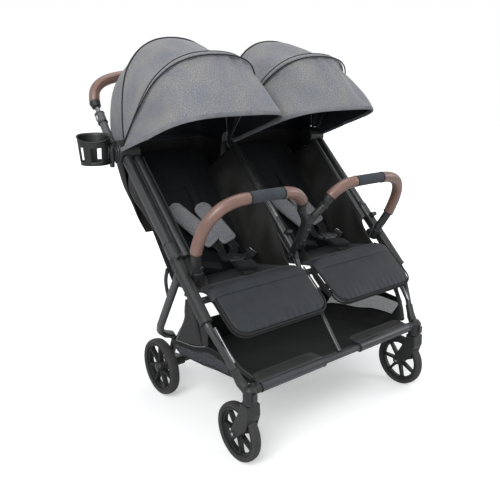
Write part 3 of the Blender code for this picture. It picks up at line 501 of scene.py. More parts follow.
def lathe(bm, profile, centre, axis, steps, slot=0):
    """Spin a closed profile of (radius, height) pairs about an axis."""
    turn = Vector((0, 0, 1)).rotation_difference(Vector(axis)).to_matrix().to_4x4()
    base = Matrix.Translation(Vector(centre)) @ turn
    verts = [bm.verts.new(base @ Vector((0, -r, h))) for r, h in profile]
    edges = []
    for i in range(len(verts)):
        j = (i + 1) % len(verts)
        if profile[i][0] + profile[j][0] > 0:
            edges.append(bm.edges.new((verts[i], verts[j])))
    before = set(bm.faces)
    bmesh.ops.spin(bm, geom=verts + edges, cent=centre, axis=axis, angle=2 * math.pi, steps=steps,
                   use_merge=True)
    for face in bm.faces:
        if face not in before:
            face.material_index = slot


def mirrored(half):
    """Close half a profile, which ends at height 0, with its mirror image."""
    return half + [(r, -h) for r, h in reversed(half[:-1])]


def collar(bm, centre, axis, inner, outer, height, chamfer, steps):
    """A ring whose outer edges are cut by (radius, height) of the chamfer."""
    cut, rise = chamfer
    lathe(bm, [(inner, 0), (outer - cut, 0), (outer, rise), (outer, height - rise),
               (outer - cut, height), (inner, height)], centre, axis, steps)


def place_uv(bm, rule):
    """Write a UV map in metres, so that cloth patterns have a real size."""
    layer = bm.loops.layers.uv.new("cloth")
    for face in bm.faces:
        for loop in face.loops:
            loop[layer].uv = rule(loop.vert)


def dress(names, mat):
    """Give CAD nodes whose shape is right their finish."""
    for name in names:
        mesh = frame["nodes"][name].data
        if mesh.materials:
            for i in range(len(mesh.materials)):
                mesh.materials[i] = mat
        else:
            mesh.materials.append(mat)


def oriented(origin, along, normal):
    """Matrix with y along a piece, z out of it and x to its side."""
    along = Vector(along).normalized()
    normal = Vector(normal)
    normal = (normal - along * normal.dot(along)).normalized()
    return (Matrix.Translation(origin)
            @ Matrix((along.cross(normal), along, normal)).transposed().to_4x4())


def disc(bm, centre, axis, radius, height, steps, dome=0.3, slot=0):
    """A low cap: a cylinder with a rounded shoulder."""
    edge = min(height, radius) * dome
    lathe(bm, [(0, 0), (radius, 0), (radius, height - edge), (radius - edge * 0.35, height - edge * 0.3),
               (radius - edge, height), (0, height)], centre, axis, steps, slot)


def rounded_plate(bm, half_w, y0, y1, z0, z1, corners, rim, matrix=Matrix(), steps=6):
    """A plate with its own radius at each corner: near left, near right, far right, far left."""
    centres = ((-1, y0, 180), (1, y0, 270), (1, y1, 0), (-1, y1, 90))
    points = []
    for (sx, y, start), r in zip(centres, corners):
        sy = 1 if y == y0 else -1
        for i in range(steps + 1):
            t = math.radians(start + 90 * i / steps)
            points.append((sx * (half_w - r) + r * math.cos(t), y + sy * r + r * math.sin(t)))
    face = bm.faces.new([bm.verts.new(matrix @ Vector((x, y, z0))) for x, y in points])
    made = bmesh.ops.extrude_face_region(bm, geom=[face])["geom"]
    up = matrix.to_3x3() @ Vector((0, 0, z1 - z0))
    bmesh.ops.translate(bm, vec=up, verts=[g for g in made if isinstance(g, bmesh.types.BMVert)])
    if rim:
        caps = [face] + [g for g in made if isinstance(g, bmesh.types.BMFace)]
        edges = list({e for f in caps for e in f.edges})
        bmesh.ops.bevel(bm, geom=edges, offset=rim, segments=3, profile=0.5, affect="EDGES", material=-1)
    return [matrix @ Vector((x, y, (z0 + z1) / 2)) for x, y in points]


def block(bm, matrix, half, bevel):
    """A box of the given half sizes with rounded edges."""
    made = bmesh.ops.create_cube(bm, size=2.0, matrix=matrix @ Matrix.Diagonal((*half, 1)))["verts"]
    edges = list({e for f in {f for v in made for f in v.link_faces} for e in f.edges})
    bmesh.ops.bevel(bm, geom=edges, offset=bevel, segments=2, profile=0.5, affect="EDGES", material=-1)


def cloth_grid(bm, rows):
    """Cloth between rows of points, with the row and column kept for its UV map in metres."""
    layer = bm.loops.layers.uv.get("cloth") or bm.loops.layers.uv.new("cloth")
    grid = [[bm.verts.new(p) for p in row] for row in rows]
    across = []
    for row in grid:
        run, out = 0.0, [0.0]
        for a, b in zip(row, row[1:]):
            run += (b.co - a.co).length
            out.append(run)
        across.append([u - run / 2 for u in out])
    down, run = [0.0], 0.0
    middle = len(grid[0]) // 2
    for a, b in zip(grid, grid[1:]):
        run += (b[middle].co - a[middle].co).length
        down.append(run)
    for i in range(len(grid) - 1):
        for j in range(len(grid[0]) - 1):
            face = bm.faces.new((grid[i][j], grid[i][j + 1], grid[i + 1][j + 1], grid[i + 1][j]))
            for loop, (r, c) in zip(face.loops, ((i, j), (i, j + 1), (i + 1, j + 1), (i + 1, j))):
                loop[layer].uv = (across[r][c], down[r])


def hang(name, rows, mat, body, node=None, smooth=70, thickness=0.0016):
    """Cloth of its own thickness, half of it on each side of the rows."""
    bm = bmesh.new()
    cloth_grid(bm, rows)
    return finish(name, bm, mat, body, node, smooth, turn_out=False, thickness=thickness, offset=0)


def swept(name, points, widths, mat, body, sides, hint=(1, 0, 0), power=2.0, node=None, smooth=40.0):
    """A piece that is one sweep."""
    bm = bmesh.new()
    sweep(bm, points, widths, sides, hint, power)
    return finish(name, bm, mat, body, node, smooth)


def cord_along(name, points, radius, body, sides=10, hint=(1, 0, 0)):
    """Black bias tape sewn along a line."""
    return swept(name, points, (radius, radius), piping_tape(), body, sides, hint)


def drift(*point):
    """Smooth noise in -1 to 1."""
    return noise.noise(Vector(point))


# Canopies

# Degrees about the hub, from level at the back over the top to the front
REAR_PIPING, MID_PIPING, FRONT_PIPING, RIM = 87.6, 125.4, 129.6, 160.6
# Arch of a round bow and of the square rim: share of the half width, share of the height
ARCH = ((-1.0, 0.11), (-0.999, 0.24), (-0.985, 0.38), (-0.945, 0.55), (-0.86, 0.71), (-0.72, 0.83),
        (-0.54, 0.92), (-0.30, 0.98), (0.0, 1.0), (0.30, 0.98), (0.54, 0.92), (0.72, 0.83), (0.86, 0.71),
        (0.945, 0.55), (0.985, 0.38), (0.999, 0.24), (1.0, 0.11))
ARCH_SQUARE = ((-1.0, 0.02), (-1.0, 0.21), (-1.0, 0.41), (-0.992, 0.62), (-0.945, 0.80), (-0.83, 0.915),
               (-0.65, 0.975), (-0.36, 0.998), (0.0, 1.0), (0.36, 0.998), (0.65, 0.975), (0.83, 0.915),
               (0.945, 0.80), (0.992, 0.62), (1.0, 0.41), (1.0, 0.21), (1.0, 0.02))
# Stations of each cloth: degrees, scale in the middle, scale at the sides
REAR = ((5, 0.40, 0.66), (25, 0.47, 0.80), (45, 0.62, 0.92), (60, 0.80, 0.98), (74, 0.955, 1.0),
        (83, 0.995, 1.0), (88, 1.0, 1.0))
MID = ((86.5, 1.0, 1.0), (95, 1.0, 0.995), (104, 0.988, 0.99), (113, 0.990, 0.99), (119, 1.008, 1.0),
       (123, 1.042, 1.02), (MID_PIPING, 1.058, 1.03), (127.5, 1.070, 1.04), (129.5, 1.068, 1.04))
PIPED = 0.75  # share of the middle cloth that lies behind its piping
FRONT = ((128, 1.068, 1.040), (130, 1.073, 1.045), (135, 1.072, 1.050), (145, 1.078, 1.050),
         (155, 1.098, 1.058), (161, 1.106, 1.060))


def scales_at(degrees):
    """Radius of the hood's cloth at an angle, in the middle and at the sides, per bow height."""
    table = MID + FRONT[2:]
    for (a, mid_a, side_a), (b, mid_b, side_b) in zip(table, table[1:]):
        if a <= degrees <= b:
            t = (degrees - a) / (b - a)
            return mid_a + (mid_b - mid_a) * t, side_a + (side_b - side_a) * t
    return 1.0, 1.0


def square_share(degrees):
    """How far a bow's arch has gone from round, over the seat, to square, at the rim."""
    return min(1.0, max(0.0, (degrees - REAR[-1][0]) / (FRONT[-1][0] - REAR[-1][0]))) ** 2


def arch_line(per_span, square=0.0):
    """Smooth arch as pairs of shares, from the left foot to the right one."""
    points = [(a + (b - a) * square, c + (d - c) * square, 0)
              for (a, c), (b, d) in zip(ARCH, ARCH_SQUARE)]
    return [(p.x, p.y) for p in curve_through(points, per_span)]


def hoop_point(x, u, v, degrees, grow, mid=1.0, side=1.0):
    """Point of a hood; its outer side widens towards the rim and flares over the hub."""
    t = math.radians(degrees)
    scale = mid + (side - mid) * abs(u) ** 3
    r = (v * CANOPY_H + grow) * scale
    square = square_share(degrees)
    wide = CANOPY_HW + (grow if u * x > 0 else min(grow, 2 * STEP))
    if u * x > 0:
        over_hub = max(0.0, 1 - v / 0.45) ** 0.6
        wide += square * (0.003 + 0.020 * over_hub)
    return Vector((x + u * wide, HUB.y + r * math.cos(t), HUB.z + r * math.sin(t)))


def hood_rows(x, grow, stations, ripple):
    """Rows of cloth from one bow to the next; ripple(u, v, share) pulls it in towards the child."""
    rows = []
    for k, (degrees, mid, side) in enumerate(stations):
        share = k / (len(stations) - 1)
        rows.append([hoop_point(x, u, v, degrees, grow - (ripple(u, v, share) if k else 0.0), mid, side)
                     for u, v in arch_line(4, square_share(degrees))])
    return rows


def bow_line(x, degrees, grow, per_span, widest=2.0):
    """Line over a hood at an angle, as far as its arch is no wider than widest."""
    return [hoop_point(x, u, v, degrees, grow, *scales_at(degrees))
            for u, v in arch_line(per_span, square_share(degrees)) if abs(u) <= widest]


def build_canopies():
    """Hoods of three cloths each, with lining, piping, a hemmed rim and folds."""
    mats = (melange(), lining_cloth())
    for side, sx in SIDES:
        x = sx * CANOPY_X
        seed = 3.1 * sx

        def rear_ripple(u, v, share):
            soft = drift(u * 1.6 + seed, share * 2.2, 4) * 0.010
            crease = 0.004 * math.sin(abs(u) * 16 + share * 5) * (1 - share) * abs(u)
            return (soft + crease + 0.006) * math.sin(math.pi * min(1.0, share * 1.02)) * v

        def mid_ripple(u, v, share):
            reach = min(1.0, share / PIPED)
            arc = math.sin(math.pi * reach)
            sag = 0.010 * max(0.0, arc) ** 0.8 * min(1.0, v * 1.2)
            soft = drift(u * 2.6, share * 2.0 + seed, 1) * 0.015 * arc
            fold = 0.004 * math.sin(abs(u) * 26) * max(0.0, 1 - v) * arc
            roll = 0.0012 * math.sin(math.pi * max(0.0, share - PIPED) / (1 - PIPED))
            return sag + soft + fold - roll

        def front_ripple(u, v, share):
            arc = math.sin(math.pi * min(1.0, share))
            sag = 0.007 * math.sin(math.pi * min(1, share * 1.05)) * min(1.0, v * 1.2)
            soft = (0.25 + drift(u * 5.5, share * 0.7, seed + 7)) * 0.025 * arc ** 1.2 * min(1.0, v * 2)
            soft *= 0.45 + 0.55 * max(0.0, u)
            gather = share ** 3 * (1 - share ** 8)
            pleat = 0.0030 * math.sin(u * 58 + 4 * drift(u * 4, seed, 0)) * gather * v
            return sag + soft + pleat

        for label, body, node, table, per_span, grow, ripple, flat, area, below in (
                ("rear", "upper_frame", "canopy_rear_", REAR, 5, 0.0, rear_ripple, (0.62, 0.36), 0.150,
                 "hub_"),
                ("middle", "mid_bow_" + side, "canopy_mid_", MID, 4, STEP, mid_ripple, (0.62, 0.24),
                 0.115, "canopy_rear_cloth_"),
                ("front", "front_bow_" + side, "canopy_front_", FRONT, 6, 2 * STEP, front_ripple,
                 (0.68, 0.21), 0.110, "canopy_middle_cloth_")):
            stations = [tuple(p) for p in curve_through(table, per_span)]
            obj = make_hood("canopy_%s_cloth_%s" % (label, side), hood_rows(x, grow, stations, ripple),
                            mats, body, node + side)

        for label, body, degrees, grow, radius in (
                ("rear", "upper_frame", REAR_PIPING, STEP + 0.0006, 0.0019),
                ("middle", "mid_bow_" + side, MID_PIPING, STEP + 0.0008, 0.0015),
                ("front", "front_bow_" + side, FRONT_PIPING, 2 * STEP + 0.0012, 0.0019)):
            flatten(cord_along("canopy_%s_piping_%s" % (label, side), bow_line(x, degrees, grow, 3, 1.0),
                               radius, body, 8, (0, 1, 0)))

        flatten(swept("canopy_rim_band_" + side, bow_line(x, RIM, 2 * STEP - 0.0010, 4),
                      (0.0056, 0.0026), woven("grey_hem_tape", srgb("6F7174"), 0.0018),
                      "front_bow_" + side, 12, (0, -0.33, -0.94), 3.0))


def make_hood(name, rows, mats, body, node):
    """Cloth with its lining inside."""
    bm = bmesh.new()
    cloth_grid(bm, rows)
    bmesh.ops.recalc_face_normals(bm, faces=bm.faces[:])
    top = max(bm.faces, key=lambda f: f.calc_center_median().z)
    if top.normal.z < 0:
        bmesh.ops.reverse_faces(bm, faces=bm.faces[:])
    obj = finish(name, bm, mats, body, node, smooth=60, turn_out=False, thickness=sizes().hood_cloth)
    flatten(obj)
    return obj


def flatten(obj):
    """Give the hood a mesh of its own."""
    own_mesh(obj)


# Wheels

SPOKES = 7


def tyre_profile(radius, half):
    """Round tread with a shallow groove each side, closed inside."""
    seat = radius - 0.0145
    out = [(seat, half * 0.62), (seat + 0.003, half * 0.84), (radius - 0.0078, half * 0.985),
           (radius - 0.0055, half), (radius - 0.0030, half * 0.90), (radius - 0.0012, half * 0.66),
           (radius - 0.0003, half * 0.36), (radius - 0.0008, half * 0.30),
           (radius - 0.0008, half * 0.24), (radius, half * 0.18), (radius, 0.0)]
    return [(r, -h) for r, h in out[:-1]] + [(r, h) for r, h in reversed(out)]


def build_wheels():
    """Tyres, rims with seven paired spokes, hub caps and axle ends."""
    nylon = black_plastic()
    steps = sizes().wheel_steps
    for end, axle, radius, half, phase in (("front", FRONT_AXLE, 0.078, 0.013, 0.2),
                                           ("rear", REAR_AXLE, 0.0865, 0.015, 0)):
        for side, sx in SIDES:
            centre = Vector((sx * axle.x, axle.y, axle.z))
            body = end + "_wheel_" + side
            bm = bmesh.new()
            lathe(bm, tyre_profile(radius, half), centre, (1, 0, 0), steps)
            finish(end + "_foam_tyre_" + side, bm, rubber(), body, end + "_tyre_" + side)

            bm = bmesh.new()
            seat = radius - 0.0142
            lip = half * 0.80
            lathe(bm, mirrored([(seat, lip), (seat - 0.0016, lip + 0.0008), (seat - 0.0032, lip),
                                (seat - 0.0036, half * 0.45), (seat - 0.0075, half * 0.36),
                                (seat - 0.0085, 0.0)]), centre, (1, 0, 0), steps)
            lathe(bm, mirrored([(0.0051, half - 0.0012), (0.0125, half - 0.0012),
                                (0.0140, half - 0.0030), (0.0150, 0.0055), (0.0185, 0.0045),
                                (0.0190, 0.0)]), centre, (1, 0, 0), steps)
            inner, outer = 0.0165, seat - 0.0060
            middle, reach = (inner + outer) / 2, (outer - inner) / 2
            for i in range(SPOKES):
                turn = 2 * math.pi * i / SPOKES + phase
                spin = Matrix.Translation(centre) @ Matrix.Rotation(turn, 4, "X")
                for edge in (-1, 1):
                    lean = Matrix.Rotation(edge * 0.035, 4, "X")
                    block(bm, spin @ lean @ Matrix.Translation((0, edge * 0.0036, middle)),
                          (half * 0.50, 0.0013, reach), 0.0005)
                block(bm, spin @ Matrix.Translation((0, 0, middle)),
                      (half * 0.20, 0.0036, reach), 0.0004)
            finish(end + "_spoked_rim_" + side, bm, nylon, body, end + "_rim_" + side,
                   turn_out=False, smooth=35)

            if end == "rear":
                bm = bmesh.new()
                cap = centre + Vector((sx * (half - 0.0014), 0, 0))
                disc(bm, cap, (sx, 0, 0), 0.0118, 0.0040, 32, 0.5)
                disc(bm, cap + Vector((sx * 0.0036, 0, 0)), (sx, 0, 0), 0.0060, 0.0014, 24, 0.6)
                finish("rear_hub_cap_" + side, bm, satin_black(), body)


def build_castors():
    """Forks with axle caps, swivel collars, bracket caps and the satin black swivel locks."""
    nylon = black_plastic()
    dress(["castor_fork_left", "castor_fork_right", "castor_bracket_left", "castor_bracket_right"],
          nylon)
    dress(["swivel_lock_left", "swivel_lock_right"], satin_black())
    for side, sx in SIDES:
        x = sx * FRONT_AXLE.x
        for way in (-1, 1):
            bm = bmesh.new()
            disc(bm, (x + way * 0.0194, FRONT_AXLE.y, FRONT_AXLE.z), (way, 0, 0), 0.0092,
                 0.0026, 28, 0.6)
            disc(bm, (x + way * 0.0214, FRONT_AXLE.y, FRONT_AXLE.z), (way, 0, 0), 0.0044, 0.0014,
                 20, 0.6, slot=1)
            finish("castor_axle_cap_%s_%s" % (side, "outer" if way == sx else "inner"), bm,
                   (nylon, bright_steel()), "castor_" + side)
        bm = bmesh.new()
        disc(bm, (x, SWIVEL_Y, 0.2236), (0, 0, 1), 0.0125, 0.0030, 28, 0.6)
        finish("swivel_cap_" + side, bm, nylon, "lower_frame")
        bm = bmesh.new()
        collar(bm, (x, SWIVEL_Y, 0.1806), (0, 0, 1), 0.0150, 0.0188, 0.0030, (0.0006, 0.0006), 36)
        finish("swivel_collar_" + side, bm, satin_black(), "lower_frame")


# Frame

def build_frame():
    """Tubes and mouldings with their rivets, bands, hub caps and the straps behind the joints."""
    paint, nylon = powder_coat(), black_plastic()
    tubes = ["front_leg_", "main_tube_", "inner_tube_", "rear_leg_"]
    dress([t + s for t in tubes for s, _ in SIDES], paint)
    dress(["centre_leg", "centre_tube", "front_cross_tube", "seat_rail", "rear_axle"], paint)
    dress(["handle_bar"], satin_steel())
    dress(["leg_sleeve_left", "leg_sleeve_right", "hub_left", "hub_right", "bar_mount", "brake_pedal"],
          nylon)
    dress(["handle_post_left", "handle_post_right"], moulded("grey_post_nylon", srgb("4A4C4F"), 0.45))
    satin = satin_black()
    for side, sx in SIDES:
        out = Vector((sx, 0, 0))
        bm = bmesh.new()
        hub = HUB + Vector((sx * 0.3836, 0, 0))
        disc(bm, hub, out, 0.0245, 0.0030, 44, 0.7)
        disc(bm, hub + out * 0.0028, out, 0.0150, 0.0018, 36, 0.6)
        finish("hub_cap_" + side, bm, satin, "upper_frame")

        bm = bmesh.new()
        for along, up in ((-0.030, 0.0), (-0.160, 0.0), (-0.095, -0.008)):
            disc(bm, on_line(FOLD, sx * (TUBE_X + 0.0143), along, up), out, 0.0042, 0.0014, 20, 0.7)
        disc(bm, on_line(FOLD, sx * (TUBE_X + 0.0080), -0.035, -0.0289), out, 0.0075, 0.0020, 24, 0.7)
        finish("sleeve_rivets_" + side, bm, satin, "lower_frame")
        bm = bmesh.new()
        for along in (0.022, 0.300):
            reach = 0.0143 if along < 0.05 else 0.0118
            disc(bm, on_line(FOLD, sx * (TUBE_X + reach), along), out, 0.0042, 0.0014, 20, 0.7)
        finish("tube_rivets_" + side, bm, satin, "upper_frame")

        for label, body, places in (("upper", "upper_frame", (0.0018, 0.0445)),
                                    ("lower", "lower_frame", (-0.0060, -0.1835))):
            bm = bmesh.new()
            for along in places:
                sweep(bm, [on_line(FOLD, sx * TUBE_X, along),
                           on_line(FOLD, sx * TUBE_X, along + 0.0035)],
                      (0.0151, 0.0171), 28, power=2.6)
            finish("%s_sleeve_bands_%s" % (label, side), bm, nylon, body, smooth=30)

        bm = bmesh.new()
        turn = direction(POST)
        for along in (0.094, 0.124):
            collar(bm, on_line(POST, sx * POST_X, along), turn, 0.0100, 0.0145, 0.0038,
                   (0.0005, 0.0008), 32)
        finish("adjuster_rings_" + side, bm, satin, "upper_frame")
        bm = bmesh.new()
        place = oriented(on_line(POST, sx * (POST_X + 0.0128), 0.111), turn, (sx, 0, 0))
        block(bm, place, (0.0055, 0.0075, 0.0016), 0.0010)
        finish("adjuster_button_" + side, bm, bright_steel(), "upper_frame")

        path = curve_through([(sx * 0.3635, 0.124, 0.452), (sx * 0.3645, 0.133, 0.420),
                              (sx * 0.3650, 0.126, 0.388), (sx * 0.3650, 0.112, 0.362)], 5)
        swept("fold_strap_" + side, path, (0.0035, 0.0062), nylon, "lower_frame", 14, power=3.0)
        # Steel rod down the inner front of each front leg, put there for the bright highlight strip
        # along the leg tube: a painted highlight.
        path = curve_through([(sx * 0.3420, -0.058, 0.3440), (sx * 0.3380, -0.092, 0.3080),
                              (sx * 0.3330, -0.124, 0.2730)], 5)
        swept("inner_leg_rod_" + side, path, (0.0040, 0.0070), satin_steel(), "lower_frame",
              16, power=2.4)


def build_handle():
    """Leatherette push bar with its seam and collars."""
    skin, nylon = leatherette(), black_plastic()
    half = [on_line(POST, POST_X, 0.170), Vector((0.3715, 0.4865, 0.8745)),
            Vector((0.366, 0.4930, 0.8925)), Vector((0.353, 0.4975, 0.9080)),
            Vector((0.332, 0.5, 0.9205)), Vector((0.300, 0.5, 0.9300)), Vector((0.255, 0.5, 0.9365)),
            Vector((0.190, 0.5, 0.940)), Vector((0.10, 0.5, 0.940))]
    path = [Vector((-p.x, p.y, p.z)) for p in half] + list(reversed(half))
    path = curve_through(path, 6)
    widths = [(0.0150, 0.0150)] * len(path)
    widths[0] = widths[-1] = (0.0138, 0.0138)
    swept("push_bar_leather", path, widths, skin, "handle", 24, node="handle_grip", smooth=60)
    seam = [f @ Vector((0, -0.0151, 0)) for f in frames_along(path, (1, 0, 0))[2:-2]]
    swept("push_bar_seam", seam, (0.0009, 0.0006), dark_thread(), "handle", 6)
    for side, sx in SIDES:
        bm = bmesh.new()
        lathe(bm, [(0.0069, 0), (0.0118, 0), (0.0128, 0.0010), (0.0150, 0.0140), (0.0158, 0.0150),
                   (0.0158, 0.0185), (0.0150, 0.0195), (0.0069, 0.0195)],
              on_line(POST, sx * POST_X, 0.150), direction(POST), 32)
        finish("grip_collar_" + side, bm, nylon, "handle")


# Seats

PAN = (-0.002, 0.420, -10.82)
CALF = (-0.026, 0.418, 216.8)
PAN_FLARE = (0.178, 1.10, 1.01)
CALF_FLARE = (0.142, 1.09, 1.055)
CALF_LEFT_SHIFT = 0.008  # the photo shows the left pad a little nearer to the middle
BRIDGE = ((0.022, 0.4255), (0.008, 0.4305), (-0.004, 0.4330), (-0.0134, 0.4338), (-0.0230, 0.4318),
          (-0.0330, 0.4256), (-0.0430, 0.4172))


def evaluated_copy(obj):
    """Its mesh with all modifiers applied."""
    return bpy.data.meshes.new_from_object(obj.evaluated_get(bpy.context.evaluated_depsgraph_get()))


def stuffed(half_w, length, thick, corners, pressure, cap, voxel=0.006):
    """One stuffed cover, simulated in its own axes: y runs from its hinge, z out of its front."""
    bm = bmesh.new()
    shrink = 0.0022
    rounded_plate(bm, half_w - shrink, shrink, length - shrink, -thick / 2 + shrink, thick / 2 - shrink,
                  corners, min(thick * 0.36, 0.008))
    mesh = bpy.data.meshes.new("stuffing")
    bm.to_mesh(mesh)
    bm.free()
    obj = bpy.data.objects.new("stuffing", mesh)
    bpy.context.collection.objects.link(obj)
    mod = obj.modifiers.new("grid", "REMESH")
    mod.mode = "VOXEL"
    mod.voxel_size = voxel
    even = evaluated_copy(obj)
    obj.modifiers.clear()
    obj.data = even
    rest = [v.co.copy() for v in even.vertices]
    group = obj.vertex_groups.new(name="seam")
    for v in even.vertices:
        near = min(half_w - shrink - abs(v.co.x), v.co.y - shrink, length - shrink - v.co.y)
        if near < voxel * 0.8:
            group.add([v.index], 1.0, "REPLACE")
    cloth = obj.modifiers.new("cover", "CLOTH")
    rules = cloth.settings
    rules.quality = 6
    rules.mass = 0.2
    rules.tension_stiffness = rules.compression_stiffness = 12.0
    rules.shear_stiffness = 6.0
    rules.bending_stiffness = 0.6
    rules.use_pressure = True
    rules.uniform_pressure_force = pressure
    rules.effector_weights.gravity = 0.0
    rules.vertex_group_mass = "seam"
    cloth.point_cache.frame_start = 1
    cloth.point_cache.frame_end = 20
    scene = bpy.context.scene
    for number in range(1, 21):
        scene.frame_set(number)
    blown = evaluated_copy(obj)
    for v, home in zip(blown.vertices, rest):
        step = v.co - home
        if step.length > cap:
            v.co = home + step * (cap / step.length)
    obj.modifiers.clear()
    obj.data = blown
    scene.frame_set(1)
    made = obj.data
    bpy.data.objects.remove(obj)
    return made


def flared(y, length, near, far):
    """How much wider than its cut a pad is at y, from near at its hinge to far at its end."""
    return near + (far - near) * min(1.0, max(0.0, y / length))


def set_pad(name, mesh, matrix, mat, body, node, carve, flare=None):
    bm = bmesh.new()
    bm.from_mesh(mesh)
    for v in bm.verts:
        v.co.z += carve(v.co)
        if flare:
            v.co.x *= flared(v.co.y, *flare)
    bmesh.ops.transform(bm, matrix=matrix, verts=bm.verts[:])
    finish(name, bm, mat, body, node, smooth=70, levels=1)


def press(distance, width, depth):
    """Dent of a seam at a distance from it."""
    return -depth * math.exp(-(distance / width) ** 2)


def build_seats():
    """Seat, back and calf pads, simulated once each, with seams, wrinkles and piping."""
    cloth, calf = seat_cloth(), calf_cloth()
    pan_cloth = woven("dark_seat_oxford", srgb("1B1E21"), roughness=0.66, sheen=0.05,
                      contrast=(0.8, 1.25))
    pan = stuffed(SEAT_HW, PAN_FLARE[0], 0.0215, (0.010,) * 4, 3.0, 0.006)
    back = stuffed(SEAT_HW, 0.424, 0.025, (0.012, 0.012, 0.055, 0.055), 4.0, 0.010, 0.007)
    rest = stuffed(CALF_HW, CALF_FLARE[0], 0.0205, (0.008, 0.008, 0.034, 0.034), 3.0, 0.006)
    for side, sx in SIDES:
        x = sx * SEAT_X

        def pan_seams(p):
            if p.z < 0:
                return 0.0
            rear = max(0.0, (p.y - 0.05) / 0.12)
            wrinkle = 0.0022 * drift(p.x * 22, p.y * 34, sx) * rear
            return wrinkle + press(p.y - 0.009, 0.0028, 0.0018)

        place = oriented(on_line(PAN, x, -0.0095), direction(PAN), (0, 0, 1))
        set_pad("seat_pad_" + side, pan, place, pan_cloth, "lower_frame", "seat_pan_" + side, pan_seams,
                PAN_FLARE)

        def back_seams(p):
            if p.z < 0:
                return 0.0
            lines = press(p.y - 0.130, 0.005, 0.004) + press(p.y - 0.285, 0.005, 0.004)
            sides = press(abs(p.x) - 0.092, 0.005, 0.0035)
            return lines + sides + 0.0015 * drift(p.x * 18, p.y * 18, 5 + sx)

        place = oriented(on_line(BACK, x, -0.0115), direction(BACK), (0, -1, 0.4))
        set_pad("back_pad_" + side, back, place, cloth, "back_" + side, "backrest_" + side,
                back_seams)

        def rest_seams(p):
            if p.z < 0:
                return 0.0
            edge = max(0.0, (p.y - 0.095) / 0.045)
            gather = 0.0015 * math.sin(p.x * 330 + 3 * drift(p.x * 20, 0, sx)) * edge
            side_gather = 0.0006 * math.sin(p.y * 260) * max(0.0, (abs(p.x) - 0.115) / 0.03)
            soft = 0.0011 * drift(p.x * 9, p.y * 14, 9 + sx)
            return gather + side_gather + soft + press(p.y - 0.006, 0.003, 0.0012)

        place = oriented(on_line(CALF, x + (CALF_LEFT_SHIFT if sx < 0 else 0.0), -0.0095),
                         direction(CALF), (0, -0.5, 1))
        body = "calf_" + side
        set_pad("calf_pad_" + side, rest, place, calf, body, "calf_rest_" + side, rest_seams,
                CALF_FLARE)
        wide = CALF_HW + 0.0005
        line = [(a * flared(b, *CALF_FLARE), b) for a, b in rounded_outline(wide, 0.0, 0.1425, 0.034)]
        cord_along("calf_pad_piping_" + side, [place @ Vector((a, b, 0.0030)) for a, b in line], 0.0024,
                   body, hint=(0, 0, 1))
        swept("calf_pad_gusset_tape_" + side, [place @ Vector((a, b, -0.0062)) for a, b in line],
              (0.0016, 0.0040), piping_tape(), body, 10, (0, 0, 1))
        gusset = ((0.012, 0.006), (0.030, 0.011), (0.055, 0.012), (0.080, 0.010), (0.104, 0.005))
        swept("calf_pad_inner_gusset_" + side,
              [place @ Vector((sx * wide * flared(b, *CALF_FLARE), b, -0.0150)) for b, _ in gusset],
              [(0.0016, h) for _, h in gusset], piping_tape(), body, 10, power=3.0)
        join_pads(side, x, calf)


def join_pads(side, x, calf):
    """Cloth from the seat over the hinge onto the calf pad, with the seam between them."""
    wide = CALF_HW * CALF_FLARE[1] + 0.0005
    across = [j / 20 - 1 for j in range(41)]
    rows = [[Vector((x + u * wide, p.y, p.z - 0.014 * abs(u) ** 14 + 0.0006 * drift(u * 6, p.y * 40, x)))
             for u in across] for p in curve_through([(0, y, z) for y, z in BRIDGE], 4)]
    obj = hang("seat_front_cloth_" + side, rows, calf, None, thickness=0.0014)
    line = swept("seat_front_seam_" + side, [Vector((x + u * 0.152, -0.0134, 0.4342)) for u in across],
                 (0.0011, 0.0007), piping_tape(), None, 8, (0, 1, 0))
    for piece in (obj, line):
        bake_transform(piece)


def rounded_outline(half_w, y0, y1, corner):
    """Open line down one side, round the far corners and back up the other side."""
    points = [(-half_w, y0), (-half_w, (y0 + y1 - corner) / 2)]
    for sx, start in ((-1, 180), (1, 90)):
        for i in range(9):
            t = math.radians(start - 90 * i / 8)
            points.append((sx * (half_w - corner) + corner * math.cos(t),
                           y1 - corner + corner * math.sin(t)))
    return points + [(half_w, (y0 + y1 - corner) / 2), (half_w, y0)]


def along_tube(fall, t):
    """Place on a tube at share t of a wing, from its (start, length)."""
    return fall[0] + fall[1] * t


def wing_foot(x, t):
    """Lower edge of a wing: along the seat, then up the backrest."""
    if t < 0.30:
        k = t / 0.30
        return Vector((x, 0.004 + 0.151 * k, 0.4215 - 0.0275 * k))
    return on_line(BACK, x, 0.012 + (t - 0.30) / 0.70 * 0.335, 0.0065)


def hanging_rows(top, low, count, steps, shape):
    """Rows from the upper to the lower edge; shape moves each point into its fold."""
    rows = []
    for i in range(count + 1):
        t = i / count
        start, end = top(t), low(t)
        row = [start.lerp(end, j / steps) for j in range(steps + 1)]
        for j, p in enumerate(row):
            shape(p, t, j / steps, math.sin(math.pi * j / steps))
        rows.append(row)
    return rows


